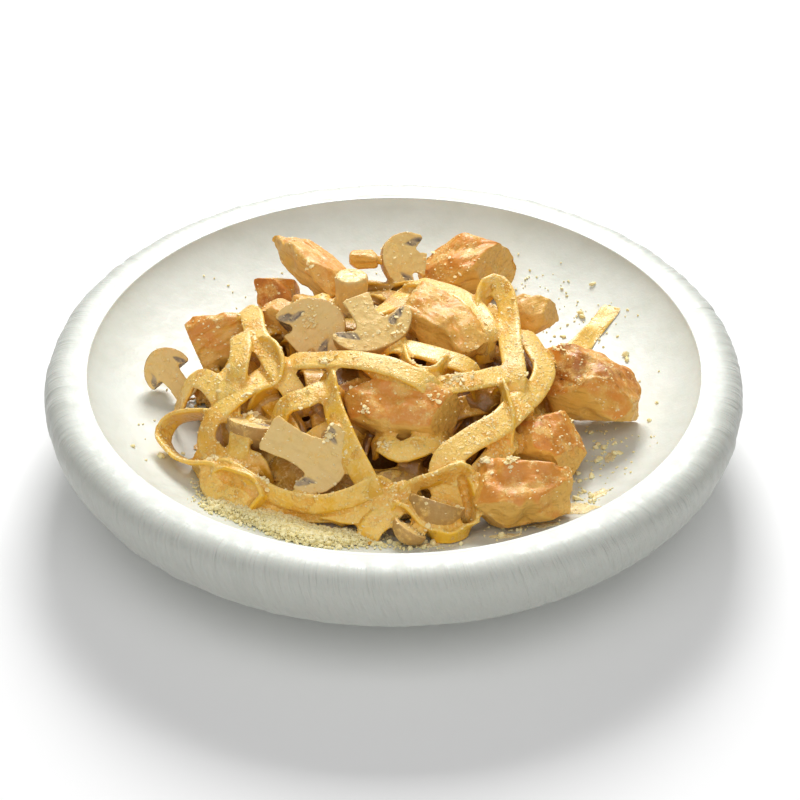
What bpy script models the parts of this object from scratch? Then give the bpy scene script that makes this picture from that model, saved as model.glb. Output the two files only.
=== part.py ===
"""Fettuccine alfredo with chicken and mushrooms, in its wide bowl with a thick rolled rim.

The bowl, the heap of noodles, every chunk of chicken, every cut mushroom and the grated cheese
on the bowl's floor are objects of their own. The origin is the middle of the bowl's foot, on the
table, with +X to the right and the shown front towards -Y. The named sizes and the tables are in
millimetres, and the meshes are scaled by MM to the metres of the scene.
"""

import math
import random
from typing import NamedTuple

import bmesh
import bpy
from mathutils import Matrix, Vector, noise
from mathutils.bvhtree import BVHTree

MM = 0.001

# Clear space between pieces, and the wider one round each topping's bed in the heap. A bed is cut
# twice, because noodles that cross each other can leave a scrap behind after the first cut.
GAP = 0.45
BED_GAP = 0.9
BED_PASSES = 2

# Bowl
BOWL_STEPS = 48
CREST_HEIGHT = 46.0
MOUTH_RADIUS = 114.0
FLOOR_DEPTH = 24.0
FLOOR_FLATNESS = 2.6
FLOOR_TURN = 0.625
LIP_RADIUS = 116.0
LIP_DROP = 0.15
RIM_TOP_RADIUS = 121.0
RIM_OUTER_RADIUS = 130.0
BELLY_DROP = 9.0
RIM_UNDER_CENTRE = 112.0
RIM_UNDER_DROP = 20.0
RIM_SQUARENESS = 2.4
FOOT_OUTER_RADIUS = 56.0
FOOT_INNER_RADIUS = 48.0
FOOT_HEIGHT = 12.0
FOOT_DRAFT = 0.8
UNDERSIDE = ((106.0, 18.2), (84.0, 17.0), (64.0, 12.5), (FOOT_OUTER_RADIUS, 11.0))
FLOOR_RINGS = (0.0, 30.0, 52.0, 69.0, 82.0, 93.0, 101.5, 107.5, 111.5, 113.7)

# Heap of noodles: the smooth form that everything lies on, and the smaller core inside it
HEAP_HALF_LENGTH = 90.0
HEAP_HALF_WIDTH = 84.0
HEAP_CENTRE_Y = -8.0
HEAP_FOOT = 30.0
HEAP_RISE = 34.0
HEAP_FLATNESS = 2.6
HEAP_TURN = 0.7
HEAP_STEEPEST = 1.6
CORE_CENTRE = (-5.0, -9.0)
CORE_HALF_LENGTH = 71.0
CORE_HALF_WIDTH = 71.0
CORE_DEPTH = 6.0
CORE_SWELL = 1.5
CORE_LUMP_LENGTH = 14.0
DIVE_RUN = 4.0
DIVE_DEPTH = 9.0
DIVE_LEAST = 3.0
NOODLE_WIDTH = 8.5
NOODLE_THICKNESS = 2.0
NOODLE_STEP = 7.5

# Grid that the joined heap is evened out on, and the faces it is left with
HEAP_VOXEL = 0.6
HEAP_FACES = 7400

# Chicken: 2 is a ball and large numbers are a box
CHUNK_SQUARENESS = 5.0
SMALL_CHUNK = 20.0
CHUNK_SAG = 0.10
CHUNK_LUMPS = ((0.24, 11.0, 0), (0.10, 4.5, 40))

# Back and side noodles that are laid by rule
FILLER_RINGS = ((0.96, 6, 0.0), (0.84, 6, 0.0), (0.70, 5, 0.0), (0.50, 6, 60.0))
FILLER_BEARINGS = (-20.0, 190.0)
FILLER_POINTS = 7
FILLER_REACH = 0.99
FILLER_LIFT = 3.4
FILLER_SEED = 11
FILLER_CLEARANCE = 4.5


class Noodle(NamedTuple):
    """One shown length of noodle: its roll off the heap's surface at both ends, and its route."""

    name: str
    rolls: tuple
    points: tuple
    width: float = NOODLE_WIDTH
    dives: tuple = (True, True)


class Chunk(NamedTuple):
    """One chunk of chicken: place, size, the way it points, its seared side and its taper."""

    name: str
    centre: tuple
    size: tuple
    along: tuple
    upward: tuple
    tip: float
    seed: int
    rests: bool = False


class Cut(NamedTuple):
    """One cut mushroom: cap middle on the cut face, its sizes, cap direction and face direction."""

    name: str
    place: tuple
    cap: tuple
    stem: tuple
    axis: tuple
    face: tuple
    thickness: float
    seed: int
    rests: bool = False


NOODLES = (
    Noodle(
        "arch",
        (0, 0),
        (
            (-37, -29, 62), (-27, -33, 66), (-15, -38, 70), (-3, -43, 71), (5, -47, 70),
            (13, -50, 66),
        ),
    ),
    Noodle(
        "front_fall",
        (60, 0),
        (
            (-23, -41, 64), (-21, -54, 61), (-17, -66, 57), (-12, -75, 51), (-7, -82, 44),
        ),
    ),
    Noodle(
        "wide_bend",
        (0, 20),
        (
            (46, -44, 56), (37, -58, 57), (26, -67, 56), (18, -74, 53), (17, -79, 47),
            (19, -82, 40),
        ),
        10.0,
    ),
    Noodle(
        "u_loop",
        (90, 90),
        (
            (3, -85, 42), (11, -91, 37), (19, -95, 35), (26, -89, 36), (28, -84, 40),
            (26, -78, 46),
        ),
        8.0,
    ),
    Noodle(
        "hook",
        (80, 0),
        (
            (31, 0, 59), (33, 10, 64), (37, 13, 68), (41, 7, 67), (42, -4, 64), (42, -18, 63),
            (43, -34, 61), (42, -41, 57),
        ),
    ),
    Noodle(
        "right_sweep",
        (0, 0),
        (
            (47, -5, 59), (52, -17, 58), (54, -27, 57), (49, -40, 56), (40, -51, 56),
        ),
    ),
    Noodle("cross", (0, 0), ((10, -47, 63), (20, -46, 66), (31, -42, 66), (44, -30, 62))),
    Noodle(
        "rim_of_hollow",
        (80, 80),
        (
            (3, -24, 63), (5, -36, 65), (10, -42, 66), (15, -41, 66), (18, -34, 65),
        ),
        7.5,
    ),
    Noodle("hollow_arch", (0, 0), ((0, -22, 64), (9, -27, 66), (17, -31, 66), (27, -34, 63))),
    Noodle("top_back", (0, 0), ((8, 25, 61), (17, 17, 64), (26, 9, 65), (32, -2, 64), (33, -12, 63))),
    Noodle(
        "stray",
        (0, 10),
        (
            (86, 48, 34), (79, 38, 31.5), (71, 26, 30.5), (60, 12, 34), (52, 2, 42),
        ),
    ),
    Noodle(
        "left_fall",
        (0, 0),
        (
            (-57, 10, 57), (-53, 4, 61), (-50, -12, 63), (-45, -23, 62), (-40, -34, 61),
            (-35, -41, 57),
        ),
    ),
    Noodle("tab", (0, 0), ((-56, -12, 62), (-55, -22, 63), (-56, -33, 59))),
    Noodle(
        "left_twist",
        (70, 70),
        (
            (-48, -17, 61), (-43, -22, 63), (-40, -30, 62), (-41, -37, 58), (-47, -38, 55),
        ),
        7.5,
    ),
    Noodle(
        "left_sash",
        (0, 20),
        (
            (-43, -28, 58), (-52, -37, 57), (-59, -43, 54), (-65, -48, 49), (-66, -53, 43),
            (-62, -58, 41),
        ),
        10.0,
    ),
    Noodle("left_arch", (0, 0), ((-76, -23, 44), (-72, -22, 50), (-66, -30, 54), (-61, -38, 52))),
    Noodle("left_mid", (0, 0), ((-62, -24, 54), (-59, -36, 56), (-58, -45, 50))),
    Noodle(
        "left_loop",
        (85, 85),
        (
            (-62, -42, 48), (-72, -38, 46), (-80, -35, 41), (-83, -40, 37), (-78, -50, 37),
            (-70, -57, 38), (-61, -62, 41),
        ),
        8.0,
    ),
    Noodle("left_post", (0, 0), ((-53, -49, 51), (-54, -58, 48), (-54, -65, 43))),
    Noodle("left_base", (0, 0), ((-67, -55, 40), (-58, -61, 42), (-49, -65, 45))),
    Noodle("toe", (0, 0), ((-59, -62, 42), (-65, -64, 38), (-61, -71, 36), (-52, -77, 36))),
    Noodle(
        "toe_loop",
        (80, 80),
        (
            (-47, -78, 37), (-44, -78, 41), (-47, -73, 44), (-53, -69, 44), (-60, -64, 41),
        ),
        7.0,
    ),
    Noodle(
        "long_front",
        (10, 10),
        (
            (-60, -63, 41), (-50, -72, 44), (-39, -79, 43), (-27, -83, 43), (-15, -83, 46),
            (-5, -79, 47),
        ),
    ),
    Noodle("under_front", (0, 0), ((-46, -76, 39), (-32, -83, 39), (-18, -84, 41))),
    Noodle("front_flat", (0, 0), ((-26, -85, 39), (-17, -87, 41), (-6, -86, 43), (4, -82, 47))),
    Noodle("front_tail", (20, 0), ((4, -82, 44), (-2, -87, 40), (-8, -91, 36))),
    Noodle("bridge", (60, 60), ((5, -81, 46), (14, -80, 50), (24, -77, 51)), 7.0),
    Noodle("stub", (0, 0), ((-38, -50, 58), (-31, -49, 61), (-22, -44, 62))),
    Noodle("thread", (85, 85), ((38, -40, 61), (40, -49, 59), (41, -55, 56), (40, -61, 51)), 5.0),
    Noodle("right_low", (0, 0), ((41, -59, 51), (34, -69, 49), (27, -77, 45))),
    Noodle("curl", (0, 0), ((-4, -64, 53), (2, -69, 53), (9, -67, 54), (16, -62, 53))),
)

CHICKEN = (
    Chunk(
        "chicken_back_tip", (-32, 44, 58), (46, 15, 13),
        (-0.62, 0.75, 0.14), (0.0, 0.25, 0.97), 0.75, 1,
    ),
    Chunk(
        "chicken_back_left", (-45, 43, 43), (17, 16, 16),
        (0.95, -0.2, 0.1), (-0.2, -0.55, 0.8), 0.1, 2,
    ),
    Chunk(
        "chicken_left_block", (-64, 6, 49), (27, 20, 22),
        (0.86, 0.45, 0.18), (-0.25, -0.25, 0.93), 0.0, 3,
    ),
    Chunk(
        "chicken_back_right", (32, 66, 46), (42, 23, 24),
        (0.93, 0.3, 0.08), (-0.05, -0.2, 0.97), 0.55, 4, True,
    ),
    Chunk(
        "chicken_right_block", (71, -20, 44), (38, 26, 28),
        (0.93, -0.32, -0.05), (0.0, -0.25, 0.97), 0.2, 5, True,
    ),
    Chunk(
        "chicken_right_wedge", (55, -49, 44), (31, 22, 19),
        (0.86, -0.38, -0.3), (0.25, -0.25, 0.93), 0.35, 6, True,
    ),
    Chunk(
        "chicken_front_right", (43, -80, 42), (34, 24, 20),
        (0.97, 0.05, 0.12), (-0.05, -0.4, 0.9), 0.15, 7, True,
    ),
    Chunk(
        "chicken_middle", (1, -50, 57), (47, 21, 19),
        (0.95, -0.22, 0.0), (0.0, -0.35, 0.93), 0.15, 8,
    ),
    Chunk("chicken_top", (15, -1, 62), (48, 21, 15), (0.66, -0.75, 0.05), (0.1, 0.0, 1.0), 0.2, 9),
    Chunk("chicken_slice", (53, 11, 56), (19, 15, 14), (0.8, 0.45, 0.1), (0.1, -0.3, 0.95), 0.4, 10),
    Chunk("chicken_small", (-12, 42, 61), (11, 8, 7), (1.0, -0.1, 0.0), (0.0, 0.1, 1.0), 0.1, 11),
    Chunk("chicken_crumbly", (-33, 23, 51), (12, 9, 10), (0.9, -0.4, 0.0), (0.0, -0.4, 0.9), 0.0, 12),
    Chunk("chicken_tucked", (-42, 8, 57), (17, 12, 13), (0.6, -0.75, 0.1), (0.0, -0.2, 1.0), 0.1, 13),
)

MUSHROOMS = (
    Cut(
        "mushroom_far_left", (-84, -4, 43), (9, 10),
        (4.0, 12), (-0.62, 0.35, 0.65), (0.1, -0.85, 0.5), 12, 21, True,
    ),
    Cut(
        "mushroom_top_slice", (-8, -17, 71), (15.5, 11),
        (5.0, 13), (0.45, -0.8, -0.35), (0.08, -0.42, 0.9), 5, 22,
    ),
    Cut(
        "mushroom_wedge", (-33, -13, 62), (13, 17),
        (5.0, 5), (0.62, 0.35, 0.45), (0.1, -0.65, 0.75), 13, 23,
    ),
    Cut(
        "mushroom_front_slice", (-27, -71, 52), (13.5, 12),
        (6.0, 19), (0.86, -0.36, -0.32), (-0.05, -0.72, 0.68), 7, 24,
    ),
    Cut(
        "mushroom_back_half", (8, 45, 58), (12, 14),
        (4.5, 5), (-0.8, -0.15, 0.35), (0.45, -0.55, 0.7), 12, 25,
    ),
    Cut(
        "mushroom_grey_cap", (-49, -47, 51), (12, 10),
        (4.5, 4), (-0.75, -0.55, 0.3), (0.1, 0.35, 0.93), 16, 26,
    ),
    Cut(
        "mushroom_front_cap", (6, -93, 37), (6.5, 6),
        (2.5, 3), (-0.3, -0.8, 0.5), (0.5, 0.3, 0.8), 8, 27, True,
    ),
    Cut(
        "mushroom_loop_cap", (15, -84, 43), (10, 9),
        (4.0, 4), (0.1, -0.75, 0.6), (0.3, 0.5, 0.75), 16, 28,
    ),
)
MUSHROOM_STEPS = 12
MUSHROOM_LUMP = 0.05
MUSHROOM_TURN = 0.2
STEM_PLACE = (-16, 18, 60)
STEM_LEAN = (-0.12, 0.1, 0.98)
STEM_SIZE = (6.3, 17.0)
STEM_SECTION = (
    (0.0, 0.5), (0.92, 0.5), (1.0, 0.4), (0.94, 0.0), (1.02, -0.42), (0.9, -0.5), (0.0, -0.5),
)
STEM_LUMP = 0.5

# Grated cheese on the floor, front left
CHEESE_START_DEGREES = 228.0
CHEESE_END_DEGREES = 266.0
CHEESE_RADIUS = 94.0
CHEESE_HALF_WIDTH = 8.0
CHEESE_HEIGHT = 3.2
CHEESE_WAVE = 2.0
CHEESE_GRAINS = 9
CHEESE_SEED = 5
GRAIN_RADII = (1.1, 1.9)


def clear_scene():
    """Remove every object that the new file starts with."""
    for old in list(bpy.data.objects):
        bpy.data.objects.remove(old, do_unlink=True)


def new_collection(name):
    """Add a collection to the scene."""
    collection = bpy.data.collections.new(name)
    bpy.context.scene.collection.children.link(collection)
    return collection


def new_material(name, colour, roughness):
    """Make a plain Principled material."""
    material = bpy.data.materials.new(name)
    material.use_nodes = True
    shader = material.node_tree.nodes["Principled BSDF"]
    shader.inputs["Base Color"].default_value = (*colour, 1.0)
    shader.inputs["Roughness"].default_value = roughness
    shader.inputs["Metallic"].default_value = 0.0
    return material


def add_object(name, mesh, collection, material=None):
    """Put a mesh into the scene under a name."""
    piece = bpy.data.objects.new(name, mesh)
    collection.objects.link(piece)
    if material:
        piece.data.materials.append(material)
    return piece


def baked(piece):
    """Return the mesh that an object's modifiers make."""
    graph = bpy.context.evaluated_depsgraph_get()
    return bpy.data.meshes.new_from_object(piece.evaluated_get(graph))


def bake_in_place(piece):
    """Turn an object's modifiers into its own mesh."""
    mesh = baked(piece)
    piece.modifiers.clear()
    piece.data = mesh


def shade_round(mesh, degrees=40):
    """Shade smooth, with hard edges kept where faces meet sharply."""
    mesh.shade_smooth()
    mesh.set_sharp_from_angle(angle=math.radians(degrees))


def frame_of(first, last):
    """Rotation whose X axis is the first direction and whose Z axis leans to the last one."""
    x_axis = Vector(first).normalized()
    z_axis = Vector(last)
    z_axis = (z_axis - x_axis * z_axis.dot(x_axis)).normalized()
    y_axis = z_axis.cross(x_axis)
    return Matrix((x_axis, y_axis, z_axis)).transposed().to_4x4()


def floor_curve(radius):
    """Height of the bowl's inside at a radius: flat in the middle, steep at the mouth."""
    reach = min(radius / MOUTH_RADIUS, 1.0)
    return CREST_HEIGHT - FLOOR_DEPTH * (1.0 - reach ** FLOOR_FLATNESS) ** FLOOR_TURN


def floor_height(radius):
    """Height of the faceted floor, straight between its rings."""
    for inner, outer in zip(FLOOR_RINGS, FLOOR_RINGS[1:]):
        if radius <= outer:
            share = (radius - inner) / (outer - inner)
            return floor_curve(inner) * (1 - share) + floor_curve(outer) * share
    return CREST_HEIGHT


def heap_height(x, y):
    """Height of the smooth heap at a place."""
    reach = min(math.hypot(x / HEAP_HALF_LENGTH, (y - HEAP_CENTRE_Y) / HEAP_HALF_WIDTH), 1.0)
    return HEAP_FOOT + HEAP_RISE * (1.0 - reach ** HEAP_FLATNESS) ** HEAP_TURN


def heap_normal(x, y):
    """Outward direction of the smooth heap at a place, from its slope there."""
    probe = 2.0
    slope_x = (heap_height(x + probe, y) - heap_height(x - probe, y)) / (2 * probe)
    slope_y = (heap_height(x, y + probe) - heap_height(x, y - probe)) / (2 * probe)
    slope = Vector((slope_x, slope_y))
    if slope.length > HEAP_STEEPEST:
        slope *= HEAP_STEEPEST / slope.length
    return Vector((-slope.x, -slope.y, 1.0)).normalized()


def core_height(x, y):
    """Top of the core at a place: below the smooth heap, and down to the floor at its edge."""
    across = (x - CORE_CENTRE[0]) / CORE_HALF_LENGTH
    along = (y - CORE_CENTRE[1]) / CORE_HALF_WIDTH
    edge = max(0.0, 1.0 - math.hypot(across, along) ** 4)
    ground = floor_height(math.hypot(x, y)) + GAP
    swell = CORE_SWELL * lumps(Vector((x, y, 0.0)), CORE_LUMP_LENGTH, 3).z
    rise = heap_height(x, y) - CORE_DEPTH - ground + swell
    return ground + max(rise, 0.0) * math.sqrt(edge)


def with_dives(noodle):
    """A noodle's points with each covered end led down into the core."""
    points = [Vector(point) for point in noodle.points]
    for index, inner_index, dives in ((0, 1, noodle.dives[0]), (-1, -2, noodle.dives[1])):
        if not dives:
            continue
        end = points[index]
        run = end - points[inner_index]
        run.z = 0.0
        if run.length > 0.1:
            run *= DIVE_RUN / run.length
        deep = end + run
        deep.z = min(end.z - DIVE_LEAST, heap_height(deep.x, deep.y) - DIVE_DEPTH)
        if index == 0:
            points.insert(0, deep)
        else:
            points.append(deep)
    return points


def smooth_path(points, step):
    """Points about a step apart on a smooth curve through the given ones."""
    route = [Vector(point) for point in points]
    route = [2 * route[0] - route[1], *route, 2 * route[-1] - route[-2]]
    path = []
    for before, start, end, after in zip(route, route[1:], route[2:], route[3:]):
        count = max(1, round((end - start).length / step))
        for index in range(count):
            t = index / count
            path.append(
                0.5 * (
                    2 * start
                    + (end - before) * t
                    + (2 * before - 5 * start + 4 * end - after) * t * t
                    + (3 * start - before - 3 * end + after) * t ** 3
                )
            )
    path.append(route[-2])
    return path


def bowl_profile():
    """The bowl's section, from the floor's middle over the rim and under it to the foot."""
    profile = [(radius, floor_curve(radius)) for radius in FLOOR_RINGS]
    profile.append((LIP_RADIUS, CREST_HEIGHT - LIP_DROP))
    rim_width = RIM_OUTER_RADIUS - RIM_TOP_RADIUS
    for degrees in (90, 60, 32, 0):
        angle = math.radians(degrees)
        out = math.cos(angle) ** (2 / RIM_SQUARENESS) if degrees < 90 else 0.0
        up = math.sin(angle) ** (2 / RIM_SQUARENESS) if degrees else 0.0
        profile.append((RIM_TOP_RADIUS + rim_width * out, CREST_HEIGHT - BELLY_DROP * (1 - up)))
    under_width = RIM_OUTER_RADIUS - RIM_UNDER_CENTRE
    for degrees in (24, 48, 70):
        angle = math.radians(degrees)
        drop = BELLY_DROP + RIM_UNDER_DROP * math.sin(angle)
        profile.append((RIM_UNDER_CENTRE + under_width * math.cos(angle), CREST_HEIGHT - drop))
    profile += UNDERSIDE
    profile += [(FOOT_OUTER_RADIUS - FOOT_DRAFT, 0.0), (FOOT_INNER_RADIUS + FOOT_DRAFT, 0.0)]
    profile += [(FOOT_INNER_RADIUS, FOOT_HEIGHT), (0.0, FOOT_HEIGHT)]
    return profile


def turned_mesh(name, profile, steps, collection):
    """Turn a profile about Z with a Screw modifier and return the closed mesh."""
    mesh = bpy.data.meshes.new(name)
    points = [(radius * MM, 0.0, height * MM) for radius, height in profile]
    mesh.from_pydata(points, [(index, index + 1) for index in range(len(points) - 1)], [])
    piece = add_object(name, mesh, collection)
    screw = piece.modifiers.new("Turn", "SCREW")
    screw.steps = steps
    screw.render_steps = steps
    screw.use_merge_vertices = True
    screw.merge_threshold = 0.00001
    bake_in_place(piece)
    return piece


def build_bowl(collection, material):
    """The bowl: one turned body with a rolled rim, a shallow inside and a foot ring."""
    bowl = turned_mesh("bowl", bowl_profile(), BOWL_STEPS, collection)
    bowl.data.materials.append(material)
    shade_round(bowl.data)
    return bowl


def lumps(point, scale, seed):
    """A smooth, repeatable push for a point, in three directions."""
    start = point / scale + Vector((seed * 7.31, seed * 3.17, seed * 5.03))
    shifts = (Vector((0.0, 0.0, 0.0)), Vector((31.4, 0.0, 12.7)), Vector((0.0, 47.9, 23.1)))
    return Vector([noise.noise(start + shift) for shift in shifts])


def chunk_mesh(chunk):
    """A hand-torn, rounded block: a cube grid rounded, tapered, sagged and made lumpy."""
    form = bmesh.new()
    bmesh.ops.create_cube(form, size=2.0)
    cuts = 3 if chunk.size[0] > SMALL_CHUNK else 2
    bmesh.ops.subdivide_edges(form, edges=form.edges[:], cuts=cuts, use_grid_fill=True)
    half = Vector(chunk.size) / 2
    for vertex in form.verts:
        corner = vertex.co.copy()
        rounding = sum(abs(value) ** CHUNK_SQUARENESS for value in corner) ** (1 / CHUNK_SQUARENESS)
        spot = corner / rounding
        towards_tip = max(0.0, spot.x)
        narrowing = 1.0 - chunk.tip * towards_tip ** 1.5
        place = Vector((spot.x * half.x, spot.y * half.y * narrowing, spot.z * half.z * narrowing))
        place.z -= CHUNK_SAG * half.x * spot.x * spot.x
        for share, length, shift in CHUNK_LUMPS:
            place += share * half.y * lumps(place, length, chunk.seed + shift)
        vertex.co = place
    return form


def settle(form, place_matrix, rests):
    """Move a form to its place, in millimetres, and lift it until it clears the bowl's floor."""
    bmesh.ops.transform(form, matrix=place_matrix, verts=form.verts)
    clearances = [vertex.co.z - floor_height(vertex.co.xy.length) for vertex in form.verts]
    lift = GAP - min(clearances)
    if lift > 0 or rests:
        bmesh.ops.translate(form, verts=form.verts, vec=(0.0, 0.0, lift))


def finish_form(name, form, collection, material):
    """Scale a form to metres, make it an object and free the form."""
    bmesh.ops.scale(form, vec=(MM, MM, MM), verts=form.verts)
    bmesh.ops.recalc_face_normals(form, faces=form.faces)
    mesh = bpy.data.meshes.new(name)
    form.to_mesh(mesh)
    form.free()
    shade_round(mesh)
    return add_object(name, mesh, collection, material)


def build_chunk(chunk, collection, material):
    """One chunk of chicken, turned and set at its place."""
    form = chunk_mesh(chunk)
    settle(form, Matrix.Translation(chunk.centre) @ frame_of(chunk.along, chunk.upward), chunk.rests)
    return finish_form(chunk.name, form, collection, material)


def mushroom_profile(cap, stem):
    """Section of a whole mushroom, down its outer side from the crown to the stem's end."""
    cap_radius, cap_height = cap
    stem_radius, stem_length = stem
    profile = [(0.0, cap_height)]
    for degrees in (66, 42, 20, 0):
        angle = math.radians(degrees)
        profile.append((cap_radius * math.cos(angle), cap_height * math.sin(angle)))
    profile += [
        (cap_radius * 0.90, -0.17 * cap_height),
        (cap_radius * 0.66, -0.10 * cap_height),
        (stem_radius * 1.15, 0.0),
        (stem_radius * 0.95, -0.45 * stem_length),
        (stem_radius * 1.12, -stem_length),
        (0.0, -1.03 * stem_length),
    ]
    return profile


def slice_form(form, point, normal):
    """Cut a closed form with a plane, drop what lies beyond it and close the cut."""
    geometry = form.verts[:] + form.edges[:] + form.faces[:]
    cut = bmesh.ops.bisect_plane(
        form, geom=geometry, dist=1e-5, plane_co=point, plane_no=normal, clear_outer=True
    )
    edges = [item for item in cut["geom_cut"] if isinstance(item, bmesh.types.BMEdge)]
    bmesh.ops.contextual_create(form, geom=edges)


def build_cut(cut, collection, material):
    """One cut mushroom: turned whole, sliced to its thickness, bent a little and set in place."""
    whole = turned_mesh(cut.name, mushroom_profile(cut.cap, cut.stem), MUSHROOM_STEPS, collection)
    form = bmesh.new()
    form.from_mesh(whole.data)
    bpy.data.objects.remove(whole, do_unlink=True)
    bmesh.ops.scale(form, vec=(1 / MM, 1 / MM, 1 / MM), verts=form.verts)
    bmesh.ops.rotate(form, verts=form.verts, matrix=Matrix.Rotation(MUSHROOM_TURN, 3, "Z"))
    slice_form(form, (0.0, 0.0, 0.0), (1.0, 0.0, 0.0))
    if cut.thickness < cut.cap[0]:
        slice_form(form, (-cut.thickness, 0.0, 0.0), (-1.0, 0.0, 0.0))
    for vertex in form.verts:
        vertex.co += MUSHROOM_LUMP * cut.cap[0] * lumps(vertex.co, 12.0, cut.seed)
    axis = Vector(cut.axis).normalized()
    face = Vector(cut.face)
    turn = frame_of(face - axis * face.dot(axis), axis)
    settle(form, Matrix.Translation(cut.place) @ turn, cut.rests)
    return finish_form(cut.name, form, collection, material)


def build_stem_piece(collection, material):
    """A cut length of mushroom stem that stands on the heap."""
    radius, length = STEM_SIZE
    profile = [(radius * out, length * up) for out, up in STEM_SECTION]
    whole = turned_mesh("mushroom_stem", profile, MUSHROOM_STEPS, collection)
    form = bmesh.new()
    form.from_mesh(whole.data)
    bpy.data.objects.remove(whole, do_unlink=True)
    bmesh.ops.scale(form, vec=(1 / MM, 1 / MM, 1 / MM), verts=form.verts)
    for vertex in form.verts:
        vertex.co += STEM_LUMP * lumps(vertex.co, 9.0, 31)
    settle(form, Matrix.Translation(STEM_PLACE) @ frame_of((1.0, 0.0, 0.0), STEM_LEAN), False)
    return finish_form("mushroom_stem", form, collection, material)


def band_tilt(direction, across):
    """Angle from a curve's upright band to a band that lies across the noodle."""
    up = Vector((0.0, 0.0, 1.0))
    upright = (up - direction * up.dot(direction)).normalized()
    return math.atan2(direction.dot(upright.cross(across)), upright.dot(across))


def noodle_curve(noodle, path):
    """A flat curve band along a path, rolled off the heap's surface by the noodle's angles."""
    curve = bpy.data.curves.new(noodle.name, "CURVE")
    curve.dimensions = "3D"
    curve.twist_mode = "Z_UP"
    curve.extrude = noodle.width / 2 * MM
    spline = curve.splines.new("POLY")
    spline.points.add(len(path) - 1)
    last_tilt = None
    for index, place in enumerate(path):
        ahead = path[min(index + 1, len(path) - 1)]
        behind = path[max(index - 1, 0)]
        direction = (ahead - behind).normalized()
        outward = heap_normal(place.x, place.y)
        across = direction.cross(outward).normalized()
        share = index / (len(path) - 1)
        roll = math.radians(noodle.rolls[0] * (1 - share) + noodle.rolls[1] * share)
        across = Matrix.Rotation(roll, 3, direction) @ across
        tilt = band_tilt(direction, across)
        if last_tilt is not None:
            tilt += math.pi * round((last_tilt - tilt) / math.pi)
        last_tilt = tilt
        spline.points[index].co = (*(place * MM), 1.0)
        spline.points[index].tilt = tilt
    return curve


def build_noodle(noodle, path, collection):
    """One noodle as a closed flat band that stays above the bowl's floor."""
    band = bpy.data.objects.new(noodle.name, noodle_curve(noodle, path))
    collection.objects.link(band)
    piece = add_object(noodle.name, baked(band), collection)
    bpy.data.objects.remove(band, do_unlink=True)
    thickness = piece.modifiers.new("Thickness", "SOLIDIFY")
    thickness.thickness = NOODLE_THICKNESS * MM
    thickness.offset = 0.0
    bake_in_place(piece)
    for vertex in piece.data.vertices:
        lowest = (floor_height(vertex.co.xy.length / MM) + GAP) * MM
        vertex.co.z = max(vertex.co.z, lowest)
    return piece


def build_core(collection):
    """The heap's inside: a low lumpy dome with its underside on the bowl's floor."""
    form = bmesh.new()
    bmesh.ops.create_icosphere(form, subdivisions=3, radius=1.0)
    for vertex in form.verts:
        unit = vertex.co.copy()
        x = CORE_CENTRE[0] + CORE_HALF_LENGTH * unit.x
        y = CORE_CENTRE[1] + CORE_HALF_WIDTH * unit.y
        ground = floor_height(math.hypot(x, y)) + GAP
        vertex.co = (x, y, core_height(x, y) if unit.z > 0 else ground)
    return finish_form("noodles", form, collection, None)


def filler_noodles(toppings):
    """Noodles laid by rule over the back and sides, each shortened where a topping begins."""
    draw = random.Random(FILLER_SEED)
    trees = []
    for topping in toppings:
        points = [vertex.co / MM for vertex in topping.data.vertices]
        faces = [tuple(face.vertices) for face in topping.data.polygons]
        trees.append(BVHTree.FromPolygons(points, faces))
    noodles = []
    for start_reach, count, slant in FILLER_RINGS:
        for index in range(count):
            start, end = FILLER_BEARINGS
            bearing = math.radians(start + (end - start) * (index + draw.uniform(0.0, 0.6)) / count)
            heading = math.radians(slant + draw.uniform(-18, 18))
            reach = start_reach
            route = []
            for step in range(FILLER_POINTS):
                x = CORE_CENTRE[0] + CORE_HALF_LENGTH * reach * math.cos(bearing)
                y = CORE_CENTRE[1] + CORE_HALF_WIDTH * reach * math.sin(bearing)
                lift = FILLER_LIFT * (0.6 + 0.4 * math.sin(1.3 * step + index))
                spot = Vector((x, y, core_height(x, y) + lift))
                near = min(tree.find_nearest(spot)[3] for tree in trees)
                if near < FILLER_CLEARANCE:
                    break
                route.append(tuple(spot))
                bearing += NOODLE_STEP * math.cos(heading) / (CORE_HALF_LENGTH * reach)
                reach = min(reach + NOODLE_STEP * math.sin(heading) / CORE_HALF_LENGTH, FILLER_REACH)
            if len(route) > 3:
                roll = draw.uniform(-25, 25)
                name = f"filler_{len(noodles)}"
                noodles.append(Noodle(name, (roll, -roll), tuple(route), NOODLE_WIDTH, (False, False)))
    return noodles


def grown_copy(piece, growth, collection):
    """A copy of a piece pushed outwards all over, to cut its bed with."""
    mesh = piece.data.copy()
    pushes = [vertex.normal.copy() for vertex in mesh.vertices]
    for vertex, push in zip(mesh.vertices, pushes):
        vertex.co += push * growth * MM
    cutter = add_object(piece.name + "_bed", mesh, collection)
    cutter.hide_render = True
    cutter.display_type = "WIRE"
    return cutter


def boolean(piece, operation, collection):
    """Join a collection to a piece, or cut it away, and apply the result."""
    modifier = piece.modifiers.new(operation.title(), "BOOLEAN")
    modifier.operation = operation
    modifier.operand_type = "COLLECTION"
    modifier.collection = collection
    modifier.solver = "MANIFOLD"
    bake_in_place(piece)


def empty_collection(collection):
    """Remove a collection's objects once they have been used."""
    for piece in list(collection.objects):
        bpy.data.objects.remove(piece, do_unlink=True)


def shell_volume(faces):
    """Signed volume that a set of faces encloses."""
    total = 0.0
    for face in faces:
        first = face.verts[0].co
        for second, third in zip(face.verts[1:], face.verts[2:]):
            total += first.dot(second.co.cross(third.co)) / 6
    return total


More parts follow.
